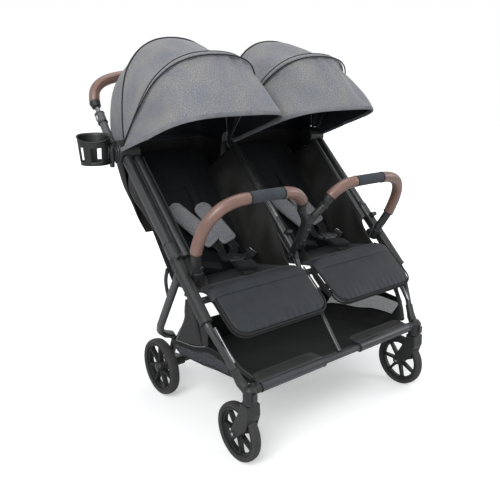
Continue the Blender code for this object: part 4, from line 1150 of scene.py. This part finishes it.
def build_wings():
    """Cloths that fall from the tubes to the seats in soft folds, with piping along the tubes."""
    cloth = wing_cloth()
    for side, sx in SIDES:
        def side_folds(p, t, s, belly):
            fold = math.sin(9.0 * t * math.pi + 1.5 * s) * 0.5 + drift(t * 5, s * 2, 3 * sx)
            p.x -= sx * (0.006 * belly + 0.0085 * fold * s ** 0.7 * min(1, 3 * (1.02 - s)))

        rows = hanging_rows(lambda t: on_line(FOLD, sx * WING_X, along_tube(WING_FALL, t), 0.010),
                            lambda t: wing_foot(sx * (0.3170 - 0.0225 * t), t), 48, 18, side_folds)
        obj = hang("side_wing_cloth_" + side, rows, cloth, "upper_frame", "side_wing_" + side, 60)
        cord_along("side_wing_piping_" + side,
                   [on_line(FOLD, sx * WING_X, along_tube(WING_FALL, i / 12), 0.0112)
                    for i in range(13)], 0.0024, "upper_frame")

    for side, sx in SIDES:
        def centre_folds(p, t, s, belly):
            fold = math.sin(8.0 * t * math.pi - 2.2 * s) * 0.6 + drift(t * 6, s * 2, 8 * sx)
            p.x += sx * (0.010 * belly + 0.0090 * fold * s ** 0.8 * min(1, 3 * (1.02 - s)))
            p.y -= 0.004 * belly

        rows = hanging_rows(lambda t: on_line(FOLD, sx * 0.0128, along_tube(CENTRE_FALL, t), 0.0080),
                            lambda t: wing_foot(sx * (0.0400 + 0.0245 * t), 0.96 * t), 56, 20,
                            centre_folds)
        obj = hang("centre_wing_cloth_" + side, rows, cloth, "upper_frame", "centre_wing", 60)
        cord_along("centre_wing_piping_" + side,
                   [on_line(FOLD, sx * 0.0124, along_tube(CENTRE_FALL, i / 12), 0.0105)
                    for i in range(13)], 0.0022, "upper_frame")
    # Bright steel strip on top of the centre tube, standing in for the highlight along the tube's crest:
    # a painted highlight.
    swept("centre_tube_highlight_strip", [on_line(FOLD, 0.0, along, 0.0150) for along in (0.062, 0.190)],
          (0.0040, 0.0010), bright_steel(), "upper_frame", 10, power=3.0)


# Harness

def strap(bm, points, normal, width=0.025, thick=0.0018):
    """A flat web whose face looks along normal."""
    points = curve_through(points, 4)
    way = (points[-1] - points[0]).cross(Vector(normal))
    sweep(bm, points, (width / 2, thick / 2), 12, hint=way, power=4.0)


def ladder_slide(bm, matrix, half_w, half_l, bar):
    """A ladder-lock slide: two rails and three cross bars."""
    for sx in (-1, 1):
        block(bm, matrix @ Matrix.Translation((sx * (half_w - bar), 0, 0)),
              (bar, half_l, bar * 0.9), bar * 0.5)
    for y in (-half_l + bar, 0, half_l - bar):
        block(bm, matrix @ Matrix.Translation((0, y, 0)), (half_w - 2 * bar, bar * 0.8, bar * 0.8),
              bar * 0.4)


def build_harness():
    """Five-point harness on each seat: pads, webs, slides and the crotch buckle."""
    web, nylon, grey = webbing(), black_plastic(), melange()
    for side, sx in SIDES:
        x = sx * SEAT_X
        body = "back_" + side
        face = direction(BACK, up=True)
        for label, top, low in (("outer", (-0.0715, 0.297, 0.573), (0.0085, 0.188, 0.472)),
                                ("inner", (0.0235, 0.291, 0.567), (0.0625, 0.185, 0.469))):
            top, low = Vector(top), Vector(low)
            top.x += x
            low.x += x
            own = "%s_%s" % (label, side)
            bm = bmesh.new()
            place = oriented(low, top - low, face)
            line = rounded_plate(bm, 0.0290, 0, (top - low).length, 0.0, 0.0105,
                                 (0.013, 0.013, 0.024, 0.024), 0.004, place)
            place_uv(bm, lambda v, m=place.inverted(): ((m @ v.co).x, (m @ v.co).y))
            finish("shoulder_pad_" + own, bm, grey, body, levels=1)
            bm = bmesh.new()
            out = place.to_3x3() @ Vector((0, 0, 1))
            centre = (top + low) / 2 + out * 0.0103
            ring = [place.inverted() @ (centre + (p + out * 0.0051 - centre) * 0.84) for p in line]
            ring = [place @ Vector((p.x, p.y, 0.0100)) for p in ring]
            sweep(bm, ring + [ring[0]], (0.0008, 0.0008), 6, hint=face)
            finish("shoulder_pad_stitching_" + own, bm, moulded("grey_thread", srgb("5A5C60"), 0.8),
                   body)
            bm = bmesh.new()
            strap(bm, [top - (top - low) * 0.08 + Vector((0, 0, 0.002)), top + Vector((0, 0.006, 0.012)),
                       on_line(BACK, top.x, 0.285, 0.0165), on_line(BACK, top.x, 0.335, 0.0145)], face)
            strap(bm, [low + (top - low) * 0.05, low + (low - top) * 0.10 + Vector((0, -0.004, 0.001)),
                       Vector((x + (low.x - x) * 0.6, 0.135, 0.448)),
                       Vector((x + (low.x - x) * 0.35, 0.100, 0.446))], (0, -0.3, 1))
            finish("shoulder_web_" + own, bm, web, body)
            bm = bmesh.new()
            spot = low + (low - top).normalized() * 0.012 + Vector((0, -0.003, 0.003))
            ladder_slide(bm, oriented(spot, low - top, (0, -0.4, 1)), 0.0170, 0.0150, 0.0022)
            finish("shoulder_slide_" + own, bm, nylon, body)
        for label, way in SIDES:
            own = "%s_%s" % (side, label)
            bm = bmesh.new()
            near = Vector((x + way * 0.036, 0.088, 0.440))
            far = Vector((x + way * 0.128, 0.150, 0.436))
            strap(bm, [near, near.lerp(far, 0.4) + Vector((0, -0.006, 0.009)),
                       near.lerp(far, 0.75) + Vector((0, 0, 0.007)), far], (0, -0.5, 1))
            finish("waist_web_" + own, bm, web, "lower_frame")
            bm = bmesh.new()
            place = oriented(near.lerp(far, 0.62) + Vector((0, -0.004, 0.0125)),
                             far - near, (0, -0.8, 1))
            ladder_slide(bm, place, 0.0165, 0.0135, 0.0021)
            finish("waist_slide_" + own, bm, nylon, "lower_frame")
            bm = bmesh.new()
            block(bm, place @ Matrix.Translation((0, 0.0115, 0.0018)), (0.0125, 0.0010, 0.0010), 0.0005)
            finish("waist_slide_bar_" + own, bm, bright_steel(), "lower_frame")

        bm = bmesh.new()
        strap(bm, [(x, 0.008, 0.4330), (x, 0.020, 0.4375), (x, 0.036, 0.4420), (x, 0.050, 0.4480)],
              (0, -0.2, 1), 0.030, 0.0022)
        finish("crotch_web_" + side, bm, web, "lower_frame")
        bm = bmesh.new()
        place = oriented((x + 0.004, 0.018, 0.4420), (0.25, 1.0, 0.12), (0, -0.25, 1))
        rounded_plate(bm, 0.0300, 0.0, 0.046, -0.004, 0.0085, (0.009, 0.009, 0.007, 0.007),
                      0.0035, place)
        finish("crotch_pad_" + side, bm, seat_cloth(), "lower_frame", levels=1)
        bm = bmesh.new()
        place = oriented((x, 0.062, 0.4530), (0.1, 1.0, 0.25), (0, -0.35, 1))
        rounded_plate(bm, 0.0225, 0.0, 0.038, -0.0065, 0.0065, (0.010, 0.010, 0.015, 0.015),
                      0.0028, place)
        rounded_plate(bm, 0.0100, 0.009, 0.029, 0.0062, 0.0084, (0.006,) * 4, 0.0009, place)
        for way in (-1, 1):
            arm = (place @ Matrix.Translation((way * 0.027, 0.022, 0))
                   @ Matrix.Rotation(way * -0.5, 4, "Z"))
            block(bm, arm, (0.0095, 0.0110, 0.0042), 0.0020)
        finish("harness_buckle_" + side, bm, satin_black(), "lower_frame", "harness_" + side,
               turn_out=False, smooth=35)


# Bars, foot end, basket and cup holder

BAR_SPINE = ((BAR_X, -0.008), (BAR_X, 0.0), (0.3405, 0.030), (0.350, 0.060), (0.357, 0.088),
             (0.3575, 0.120), (0.3530, 0.155), (0.3400, 0.186), (0.3150, 0.212), (0.2820, 0.2255),
             (0.2400, 0.230), (0.1500, 0.230), (0.1130, 0.228), (0.0840, 0.219), (0.0600, 0.201),
             (0.0500, 0.188), (0.046, 0.1748))


def build_bumper():
    """Bumper bars: leatherette over the bends, a foam sleeve between, black ends, yoke caps."""
    skin, nylon = leatherette(), black_plastic()
    satin = satin_black()
    up = direction(BUMPER, up=True)
    per = 6
    for side, sx in SIDES:
        points = curve_through([on_line(BUMPER, sx * x, r) for x, r in BAR_SPINE], per)
        first, middle, second, last = 4 * per, 10 * per, 11 * per + 2, 14 * per + 4

        def part(name, start, end, mat, radius, node=None):
            run = points[start:end + 1]
            widths = [(radius, radius)] * len(run)
            widths[0] = widths[-1] = (radius - 0.0008, radius - 0.0008)
            swept(name + side, run, widths, mat, "bumper_bars", 26, node=node, smooth=60)

        part("bumper_socket_", 0, first, nylon, 0.0125)
        part("bumper_leather_outer_", first, middle, skin, 0.0155, "bumper_bar_" + side)
        part("bumper_foam_", middle, second, woven("black_neoprene_sleeve", srgb("3A3F45"), 0.0016),
             0.0152)
        part("bumper_leather_inner_", second, last, skin, 0.0155)
        part("bumper_inner_end_", last, len(points) - 1, nylon, 0.0135)
        bm = bmesh.new()
        for at in (first, middle, second, last):
            a, b = points[at], points[at + 1]
            way = (b - a).normalized()
            collar(bm, a - way * 0.0012, way, 0.0120, 0.0163, 0.0024, (0.0003, 0.0006), 36)
        finish("bumper_edge_rings_" + side, bm, piping_tape(), "bumper_bars")
        bm = bmesh.new()
        for start, end, seam in ((first, middle, (-sx * 0.0154, 0, 0)), (second, last, (0, 0.0154, 0))):
            frames = frames_along(points[start:end + 1], (1, 0, 0))
            sweep(bm, [f @ Vector(seam) for f in frames[1:-1]], (0.0006, 0.0009), 6)
        finish("bumper_seam_" + side, bm, dark_thread(), "bumper_bars")
        bm = bmesh.new()
        collar(bm, on_line(BUMPER, sx * BAR_X, 0.020), direction(BUMPER), 0.0115, 0.0145, 0.0070,
               (0.0006, 0.0010), 32)
        disc(bm, on_line(BUMPER, sx * BAR_X, 0.045, 0.0115), up, 0.0055, 0.0032, 20)
        finish("bumper_release_" + side, bm, satin, "bumper_bars")
    bm = bmesh.new()
    for reach, radius in ((0.060, 0.0050), (0.096, 0.0075)):
        disc(bm, on_line(BUMPER, 0, reach, 0.0138), up, radius, 0.0026, 28, 0.6)
    for sx in (-1, 1):
        disc(bm, on_line(BUMPER, sx * 0.0162, 0.0), (sx, 0, 0), 0.0085, 0.0020, 28, 0.6)
    finish("bar_mount_caps", bm, satin, "bumper_bars")
    bm = bmesh.new()
    for sx in (-1, 1):
        a = on_line(BUMPER, sx * 0.0400, 0.1600)
        way = (on_line(BUMPER, sx * 0.0460, 0.174) - a).normalized()
        collar(bm, a, way, 0.0100, 0.0128, 0.0056, (0.0006, 0.0008), 28)
    finish("bar_mount_rings", bm, satin, "bumper_bars")


def build_footrests():
    """Foot plates: ribbed, with rounded rear corners, on a smooth roll round the cross tube."""
    plate = moulded("warm_grey_foot_plate", tuple(finishes().plate), 0.55)
    gloss = moulded("satin_blue_grey_roll", srgb("2B2E32"), 0.32, 500.0, 0.0001)
    y_tube, z_tube, roll = -0.165, 0.210, 0.0132
    top = z_tube + roll
    for side, sx in SIDES:
        bm = bmesh.new()
        centre = Matrix.Translation((sx * 0.1765, -0.158, 0))
        rounded_plate(bm, 0.1065, 0.0, 0.0385, top - 0.0062, top - 0.0006, (0.003, 0.003, 0.021, 0.021),
                      0.0018, centre, steps=8)
        for i in range(6):
            y = 0.0080 + 0.0046 * i
            block(bm, centre @ Matrix.Translation((0, y, top - 0.0004)),
                  (0.0935 - 0.0035 * max(0, i - 1), 0.0011, 0.0018), 0.0006)
        rim = rounded_outline(0.1045, 0.006, 0.0365, 0.019)
        sweep(bm, [centre @ Vector((a, b, top - 0.0004)) for a, b in rim], (0.0010, 0.0010), 8,
              hint=(0, 0, 1))
        finish("ribbed_foot_plate_" + side, bm, plate, "lower_frame", "footrest_" + side,
               turn_out=False, smooth=35)
        bm = bmesh.new()
        run = [(sx * 0.0700, 0.0118), (sx * 0.0715, 0.0132), (sx * 0.120, 0.0134), (sx * 0.200, 0.0134),
               (sx * 0.2815, 0.0132), (sx * 0.2830, 0.0118)]
        sweep(bm, [(x, y_tube, z_tube) for x, _ in run], [(r, r) for _, r in run], 36, hint=(0, 0, 1))
        for x in (0.0708, 0.2822):
            sweep(bm, [(sx * (x - 0.0016), y_tube, z_tube), (sx * (x + 0.0016), y_tube, z_tube)],
                  (0.0139, 0.0139), 36, hint=(0, 0, 1))
        finish("foot_plate_roll_" + side, bm, gloss, "lower_frame", smooth=35)


# Half of the basket, from the middle of its front to the middle of its rear: rim, edge of the floor
BASKET_LINES = (((0.000, -0.1560, 0.2070), (0.000, -0.112, 0.1865)),
                ((0.100, -0.1560, 0.2070), (0.100, -0.112, 0.1865)),
                ((0.200, -0.1550, 0.2070), (0.200, -0.112, 0.1865)),
                ((0.258, -0.1480, 0.2080), (0.250, -0.110, 0.1870)),
                ((0.284, -0.1370, 0.2240), (0.262, -0.096, 0.1870)),
                ((0.306, -0.1180, 0.2450), (0.268, -0.078, 0.1860)),
                ((0.326, -0.1040, 0.2680), (0.272, -0.060, 0.1840)),
                ((0.3300, -0.072, 0.2710), (0.274, -0.035, 0.1805)),
                ((0.3310, -0.013, 0.2710), (0.272, 0.010, 0.1715)),
                ((0.3310, 0.030, 0.2560), (0.270, 0.040, 0.1655)),
                ((0.3310, 0.068, 0.2450), (0.268, 0.072, 0.1600)),
                ((0.3310, 0.130, 0.2350), (0.264, 0.130, 0.1530)),
                ((0.3260, 0.176, 0.2200), (0.260, 0.178, 0.1480)),
                ((0.3000, 0.197, 0.2170), (0.257, 0.205, 0.1455)),
                ((0.2760, 0.222, 0.2160), (0.254, 0.226, 0.1435)),
                ((0.2400, 0.248, 0.2160), (0.230, 0.238, 0.1425)),
                ((0.1200, 0.2520, 0.2150), (0.120, 0.240, 0.1420)),
                ((0.000, 0.2520, 0.2145), (0.000, 0.240, 0.1420)))


def basket_lines():
    """Closed lines of the rim and of the floor's edge, point for point."""
    out = []
    for which in (0, 1):
        half = curve_through([pair[which] for pair in BASKET_LINES], 4)
        out.append(half + [Vector((-p.x, p.y, p.z)) for p in reversed(half[1:-1])])
    return out


def basket_point(rim, floor, level):
    """Wall of the basket: down from the rim, then tucked in under a soft bulge to the floor."""
    p = floor.lerp(rim, level)
    side = min(1.0, abs(rim.x) / 0.30) ** 6
    clear = min(1.0, max(0.0, (0.200 - rim.y) / 0.03))
    p.x += math.copysign(0.020 * math.sin(math.pi * level ** 0.8) * side * clear, rim.x)
    p.z -= 0.004 * math.sin(math.pi * level) * side
    return p


def build_basket():
    """Soft basket: mesh upper sides, cloth below, a bound rim, straps and cloth gussets."""
    cloth, mesh_cloth = woven("black_basket_cloth", srgb("07090B"), 0.002, cloudy=12.0), open_mesh()
    skirt = woven("grey_skirt_cloth", srgb("1E1E1F"), 0.002)
    rim, edge = basket_lines()
    bm = bmesh.new()
    loops = [[bm.verts.new(basket_point(a, b, 1 - k / 16)) for a, b in zip(rim, edge)]
             for k in range(17)]
    bm.loops.layers.uv.new("cloth")
    count = len(rim)
    for k in range(16):
        for i in range(count):
            j = (i + 1) % count
            face = bm.faces.new((loops[k][i], loops[k][j], loops[k + 1][j], loops[k + 1][i]))
            y = (rim[i].y + rim[j].y) / 2
            on_side = abs(rim[i].x) > 0.322 and -0.106 < y < 0.180
            if on_side and 2 <= k <= 8:
                face.material_index = 2
            elif on_side and k > 9:
                face.material_index = 1
    inner = loops[-1]
    for k in range(1, 9):
        share = 1 - k / 9
        ring = []
        for p in edge:
            x, y = p.x * share, 0.066 + (p.y - 0.066) * share
            if y < 0.072:
                base = 0.1865 - 0.0265 * min(1.0, (y + 0.112) / 0.184)
            else:
                base = 0.160 - 0.018 * (y - 0.072) / 0.168
            sag = -0.003 * (1 - share) + 0.0020 * drift(x * 9, y * 9, 2)
            ring.append(bm.verts.new((x, y, base + sag)))
        for i in range(count):
            j = (i + 1) % count
            bm.faces.new((inner[i], inner[j], ring[j], ring[i]))
        inner = ring
    bm.faces.new(inner)
    bmesh.ops.recalc_face_normals(bm, faces=bm.faces[:])
    lowest = min(bm.faces, key=lambda f: f.calc_center_median().z)
    if lowest.normal.z > 0:
        bmesh.ops.reverse_faces(bm, faces=bm.faces[:])
    obj = finish("basket_cloth", bm, (cloth, skirt, mesh_cloth), "lower_frame", "basket", smooth=70,
                 turn_out=False, thickness=0.0016)
    obj.modifiers["thickness"].material_offset = 0
    bm = bmesh.new()
    sweep(bm, rim + [rim[0]], (0.0022, 0.0022), 10, hint=(0, 0, 1))
    for level, radius in ((0.86, 0.0011), (0.42, 0.0013)):
        line = [basket_point(a, b, level) + Vector((math.copysign(0.0012, a.x), 0, 0))
                for a, b in zip(rim, edge) if abs(a.x) > 0.320 and a.y > -0.106]
        for sx in (-1, 1):
            sweep(bm, [p for p in line if p.x * sx > 0], (radius, radius), 8, hint=(0, 0, 1))
    finish("basket_rim_piping", bm, piping_tape(), "lower_frame")

    for side, sx in SIDES:
        bm = bmesh.new()
        for start, end in (((0.329, -0.090, 0.268), (0.340, -0.062, 0.330)),
                           ((0.331, 0.020, 0.258), (0.350, 0.030, 0.420))):
            a, b = Vector((sx * start[0], *start[1:])), Vector((sx * end[0], *end[1:]))
            strap(bm, [a, a.lerp(b, 0.5) + Vector((sx * 0.002, 0.002, 0)), b], (sx, 0, 0.4),
                  0.016, 0.0016)
        finish("basket_straps_" + side, bm, webbing(), "lower_frame")
        path = curve_through([(sx * 0.3360, -0.050, 0.3240), (sx * 0.3270, -0.084, 0.2900),
                              (sx * 0.3120, -0.116, 0.2520), (sx * 0.2900, -0.1420, 0.2260)], 5)
        swept("basket_front_strut_" + side, path, (0.0042, 0.0070), black_plastic(), "lower_frame",
              14, power=3.0)

        rear = curve_through([(0.3300, 0.152, 0.2275), (0.3330, 0.122, 0.2710), (0.3370, 0.090, 0.3180),
                              (0.3450, 0.0740, 0.3500), (0.3500, 0.060, 0.3850)], 6)
        front = curve_through([(0.3310, -0.010, 0.2705), (0.3340, -0.016, 0.3000),
                               (0.3380, -0.020, 0.3400), (0.3450, -0.010, 0.3750),
                               (0.3490, 0.010, 0.4050)], 6)
        rows = []
        for a, b in zip(rear, front):
            row = [a.lerp(b, j / 20) for j in range(21)]
            for j, p in enumerate(row):
                p.x = sx * (p.x + 0.0035 * drift(j * 0.15, p.z * 14, 6 * sx)
                            * math.sin(math.pi * j / 20))
            rows.append(row)
        obj = hang("basket_gusset_" + side, rows, woven("grey_gusset_cloth", srgb("29292A"), 0.002),
                   "lower_frame", thickness=0.0012)
        bm = bmesh.new()
        sweep(bm, [Vector((sx * p.x, p.y, p.z)) for p in rear], (0.0014, 0.0014), 8)
        low = [a for a in rim if a.x * sx > 0.325 and -0.012 < a.y < 0.155]
        sweep(bm, [p + Vector((sx * 0.0022, 0, 0.0016)) for p in low], (0.0011, 0.0011), 8,
              hint=(0, 0, 1))
        finish("basket_gusset_binding_" + side, bm, moulded("pale_grey_binding", srgb("6E6F70"), 0.7),
               "lower_frame")


def build_cup():
    """Cup holder: a tapered ring with a dipped rim and tall windows, on a clip at the hub."""
    height = 0.080
    base = Vector((-0.4325, 0.372, 0.704))
    bm = bmesh.new()
    around, rows = 96, 26
    grid = []
    for k in range(rows + 1):
        h = k / rows
        ring = []
        for i in range(around):
            a = 2 * math.pi * i / around
            dip = 0.018 * (0.5 - 0.5 * math.cos(a - 1.17)) ** 2
            z = h * (height - dip * h * h)
            r = 0.038 + 0.007 * (z / height) + (0.0022 if h > 0.97 else 0.0)
            ring.append(bm.verts.new(base + Vector((r * math.cos(a), r * math.sin(a), z))))
        grid.append(ring)
    for k in range(rows):
        for i in range(around):
            sector = (i * 5 / around) % 1.0
            if 3 <= k <= 16 and 0.22 < sector < 0.78:
                continue
            bm.faces.new((grid[k][i], grid[k][(i + 1) % around], grid[k + 1][(i + 1) % around],
                          grid[k + 1][i]))
    bm.faces.new(list(reversed(grid[0])))
    bmesh.ops.delete(bm, geom=[v for v in bm.verts if not v.link_faces], context="VERTS")
    finish("cup_holder_ring", bm, moulded("black_cup_plastic", srgb("111213"), 0.42), "cup",
           "cup_holder", smooth=45, turn_out=False, thickness=0.0026)
    bm = bmesh.new()
    rounded_plate(bm, 0.0090, 0.0, 0.052, 0.0, 0.0085, (0.006,) * 4, 0.0018,
                  oriented((-0.3885, 0.352, 0.694), (0, 0, 1), (-1, 0, 0)))
    block(bm, Matrix.Translation((-0.3925, 0.360, 0.722)), (0.0045, 0.0080, 0.0150), 0.0015)
    finish("cup_holder_clip", bm, satin_black(), "cup")


# Upper edge of the cloth behind each seat, under the hood: degrees, growth, middle and side scale
BACK_EDGE = (13, 0, 0.415, 0.70)


def build_back_cloth():
    """Bulging black cloth behind each seat, from the hood's lower edge down to the backrest."""
    cloth = wing_cloth()
    for side, sx in SIDES:
        x = sx * CANOPY_X
        rows = []
        for i in range(25):
            t = i / 24
            row = []
            for u, v in arch_line(2):
                start = hoop_point(x, u, v, *BACK_EDGE)
                start.x = x + u * CANOPY_HW * 0.985
                end = on_line(BACK, x + u * 0.150, 0.165, -0.016 - 0.004 * (1 - abs(u)))
                p = start.lerp(end, t)
                puff = math.sin(math.pi * t ** 0.8) * (0.046 + 0.020 * (1 - abs(u) ** 3))
                p += Vector((0, 0.62, -0.45)) * puff
                p.x += 0.003 * drift(u * 3, t * 4, 5 * sx)
                p.y += 0.004 * drift(u * 4, t * 3, 9 * sx) * math.sin(math.pi * t)
                row.append(p)
            rows.append(row)
        obj = hang("seat_back_cloth_" + side, rows, cloth, None)
        high = hoop_point(x, 0.0, 1.0, *BACK_EDGE)
        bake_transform(obj)


# Lower edge of the cloth behind each frame tube: along the tube, then down from it
SKIRT = ((0.012, -0.066), (0.045, -0.060), (0.100, -0.060), (0.160, -0.074), (0.220, -0.086),
         (0.265, -0.098), (0.300, -0.094), (0.325, -0.068), (0.344, -0.034))


def build_side_skirts():
    """Cloth that hangs behind each frame tube, a little deeper towards the hub."""
    cloth = wing_cloth()
    for side, sx in SIDES:
        rows = []
        for k, p in enumerate(curve_through([(0, a, b) for a, b in SKIRT], 6)):
            share = k / (6 * (len(SKIRT) - 1))
            row = []
            for j in range(15):
                s = j / 14
                x = 0.3490 - 0.006 * s + 0.0045 * drift(share * 6, s * 2.5, 4 * sx) * s
                along = p.y * s + min(p.y, 0.345) * (1 - s)
                row.append(on_line(FOLD, sx * x, along, -0.010 + (p.z + 0.010) * s))
            rows.append(row)
        obj = hang("side_skirt_cloth_" + side, rows, cloth, "upper_frame", thickness=0.0014)
        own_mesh(obj)


# Floor, light and camera

def build_stage():
    """White floor that keeps the soft shadow, studio light and the camera of the picture."""
    scene = bpy.context.scene
    scene.view_settings.view_transform = "Standard"
    bm = bmesh.new()
    bmesh.ops.create_grid(bm, x_segments=1, y_segments=1, size=9.0)
    bmesh.ops.translate(bm, vec=(0, 0, -0.0005), verts=bm.verts[:])
    mesh = bpy.data.meshes.new("studio_floor")
    bm.to_mesh(mesh)
    bm.free()
    floor = bpy.data.objects.new("studio_floor", mesh)
    bpy.context.collection.objects.link(floor)
    mat, tree, shader = start_material("white_sweep", 0.9)
    shader.inputs["Base Color"].default_value = (0.90, 0.90, 0.90, 1.0)
    shader.inputs["Specular IOR Level"].default_value = 0.0
    shader.inputs["Emission Color"].default_value = (1, 1, 1, 1)
    place = add_node(tree, "ShaderNodeTexCoord").outputs["Object"]
    away = add_node(tree, "ShaderNodeVectorMath", {"operation": "LENGTH"}, Vector=place)
    glow = add_node(tree, "ShaderNodeMapRange", {"From Min": 0.55, "From Max": 2.2, "To Min": 0.34,
                                                 "To Max": 1.0}, Value=away.outputs["Value"])
    seen = add_node(tree, "ShaderNodeLightPath").outputs["Is Camera Ray"]
    tree.links.new(combine(tree, "MULTIPLY", glow.outputs["Result"], seen),
                   shader.inputs["Emission Strength"])
    mesh.materials.append(mat)

    world = bpy.data.worlds.new("studio")
    world.use_nodes = True
    tree = world.node_tree
    soft = tree.nodes["Background"]
    soft.inputs["Color"].default_value = (0.95, 0.97, 1.0, 1.0)
    soft.inputs["Strength"].default_value = 0.45
    white = add_node(tree, "ShaderNodeBackground", {"Color": (1, 1, 1, 1), "Strength": 1.0})
    rays = add_node(tree, "ShaderNodeLightPath").outputs
    through = combine(tree, "MAXIMUM", rays["Is Glossy Ray"], rays["Is Transmission Ray"])
    both = add_node(tree, "ShaderNodeMixShader")
    tree.links.new(combine(tree, "MAXIMUM", rays["Is Camera Ray"], through), both.inputs[0])
    tree.links.new(soft.outputs[0], both.inputs[1])
    tree.links.new(white.outputs[0], both.inputs[2])
    tree.links.new(both.outputs[0], tree.nodes["World Output"].inputs["Surface"])
    scene.world = world

    for name, at, aim, size, power in (("key_light", (-2.4, -1.65, 2.5), (0, 0, 0.55), 1.8, 88.0),
                                       ("top_light", (0.5, 0.2, 3.4), (0, 0, 0.5), 2.0, 30.0),
                                       ("right_light", (2.5, -1.6, 1.5), (0, 0, 0.5), 1.2, 16.0)):
        light = bpy.data.lights.new(name, "AREA")
        light.size = size
        light.energy = power
        obj = bpy.data.objects.new(name, light)
        obj.location = at
        obj.rotation_euler = (Vector(aim) - Vector(at)).to_track_quat("-Z", "Y").to_euler()
        bpy.context.collection.objects.link(obj)

    lens = bpy.data.cameras.new("picture_camera")
    lens.sensor_width = 36.0
    lens.lens = 42.37
    camera = bpy.data.objects.new("picture_camera", lens)
    camera.location = (-1.0416, -1.3138, 0.9451)
    camera.rotation_euler = Vector((0.5888, 0.7547, -0.2892)).to_track_quat("-Z", "Y").to_euler()
    bpy.context.collection.objects.link(camera)
    scene.camera = camera


# Operators

class StrollerStep:
    """Runs its builders and fails if they made nothing."""
    bl_options = {"REGISTER", "UNDO"}

    def execute(self, context):
        before = len(context.scene.objects)
        for build in self.builders:
            build()
        if len(context.scene.objects) == before:
            raise RuntimeError(self.bl_label + " made nothing")
        return {"FINISHED"}


class STROLLER_OT_frame(StrollerStep, Operator):
    """Finish the tubes and mouldings and add rivets, bands and straps"""
    bl_idname = "stroller.frame"
    bl_label = "Frame"
    builders = (build_frame,)


class STROLLER_OT_castors(StrollerStep, Operator):
    """Finish the castor forks and brackets and add their caps"""
    bl_idname = "stroller.castors"
    bl_label = "Castors"
    builders = (build_castors,)


class STROLLER_OT_wheels(StrollerStep, Operator):
    """Make four wheels with foam tyres and spoked rims"""
    bl_idname = "stroller.wheels"
    bl_label = "Wheels"
    builders = (build_wheels,)


class STROLLER_OT_seats(StrollerStep, Operator):
    """Simulate and place the seat, back and calf pads"""
    bl_idname = "stroller.seats"
    bl_label = "Seat pads"
    builders = (build_seats,)


class STROLLER_OT_wings(StrollerStep, Operator):
    """Hang the side and centre cloths from the frame"""
    bl_idname = "stroller.wings"
    bl_label = "Side cloths"
    builders = (build_wings,)


class STROLLER_OT_back_cloth(StrollerStep, Operator):
    """Hang the cloth behind the seats"""
    bl_idname = "stroller.back_cloth"
    bl_label = "Back cloths"
    builders = (build_back_cloth, build_side_skirts)


class STROLLER_OT_harness(StrollerStep, Operator):
    """Make both five-point harnesses"""
    bl_idname = "stroller.harness"
    bl_label = "Harnesses"
    builders = (build_harness,)


class STROLLER_OT_canopies(StrollerStep, Operator):
    """Make both hoods"""
    bl_idname = "stroller.canopies"
    bl_label = "Canopies"
    builders = (build_canopies,)


class STROLLER_OT_bumper(StrollerStep, Operator):
    """Cover the bumper bars"""
    bl_idname = "stroller.bumper"
    bl_label = "Bumper bars"
    builders = (build_bumper,)


class STROLLER_OT_handle(StrollerStep, Operator):
    """Cover the push bar"""
    bl_idname = "stroller.handle"
    bl_label = "Push bar"
    builders = (build_handle,)


class STROLLER_OT_footrests(StrollerStep, Operator):
    """Make the ribbed foot plates"""
    bl_idname = "stroller.footrests"
    bl_label = "Foot plates"
    builders = (build_footrests,)


class STROLLER_OT_basket(StrollerStep, Operator):
    """Make the basket, its straps and gussets"""
    bl_idname = "stroller.basket"
    bl_label = "Basket"
    builders = (build_basket,)


class STROLLER_OT_cup(StrollerStep, Operator):
    """Make the cup holder"""
    bl_idname = "stroller.cup"
    bl_label = "Cup holder"
    builders = (build_cup,)


class STROLLER_OT_stage(StrollerStep, Operator):
    """Set up the floor, light and camera"""
    bl_idname = "stroller.stage"
    bl_label = "Stage"
    builders = (build_stage,)


STEPS = (STROLLER_OT_frame, STROLLER_OT_castors, STROLLER_OT_wheels, STROLLER_OT_seats,
         STROLLER_OT_wings, STROLLER_OT_back_cloth, STROLLER_OT_harness, STROLLER_OT_canopies,
         STROLLER_OT_bumper, STROLLER_OT_handle, STROLLER_OT_footrests, STROLLER_OT_basket,
         STROLLER_OT_cup, STROLLER_OT_stage)


class STROLLER_PT_panel(Panel):
    """Every step of the stroller, with its colours and sizes"""
    bl_label = "Double stroller"
    bl_idname = "STROLLER_PT_panel"
    bl_space_type = "VIEW_3D"
    bl_region_type = "UI"
    bl_category = "Stroller"

    def draw(self, context):
        for step in STEPS:
            self.layout.operator(step.bl_idname)
        for group in (context.scene.stroller_colours, context.scene.stroller_sizes):
            box = self.layout.box()
            for name in group.bl_rna.properties.keys():
                if name not in ("rna_type", "name"):
                    box.prop(group, name)


CLASSES = (StrollerColours, StrollerSizes, *STEPS, STROLLER_PT_panel)


def register():
    for cls in CLASSES:
        bpy.utils.register_class(cls)
    bpy.types.Scene.stroller_colours = PointerProperty(type=StrollerColours)
    bpy.types.Scene.stroller_sizes = PointerProperty(type=StrollerSizes)


def unregister():
    del bpy.types.Scene.stroller_sizes
    del bpy.types.Scene.stroller_colours
    for cls in reversed(CLASSES):
        bpy.utils.unregister_class(cls)


def main():
    register()
    bpy.ops.stroller.frame()
    bpy.ops.stroller.castors()
    bpy.ops.stroller.wheels()
    bpy.ops.stroller.seats()
    bpy.ops.stroller.wings()
    bpy.ops.stroller.back_cloth()
    bpy.ops.stroller.harness()
    bpy.ops.stroller.canopies()
    bpy.ops.stroller.bumper()
    bpy.ops.stroller.handle()
    bpy.ops.stroller.footrests()
    bpy.ops.stroller.basket()
    bpy.ops.stroller.cup()
    bpy.ops.stroller.stage()
    bpy.context.view_layer.update()


if __name__ == "__main__":
    main()
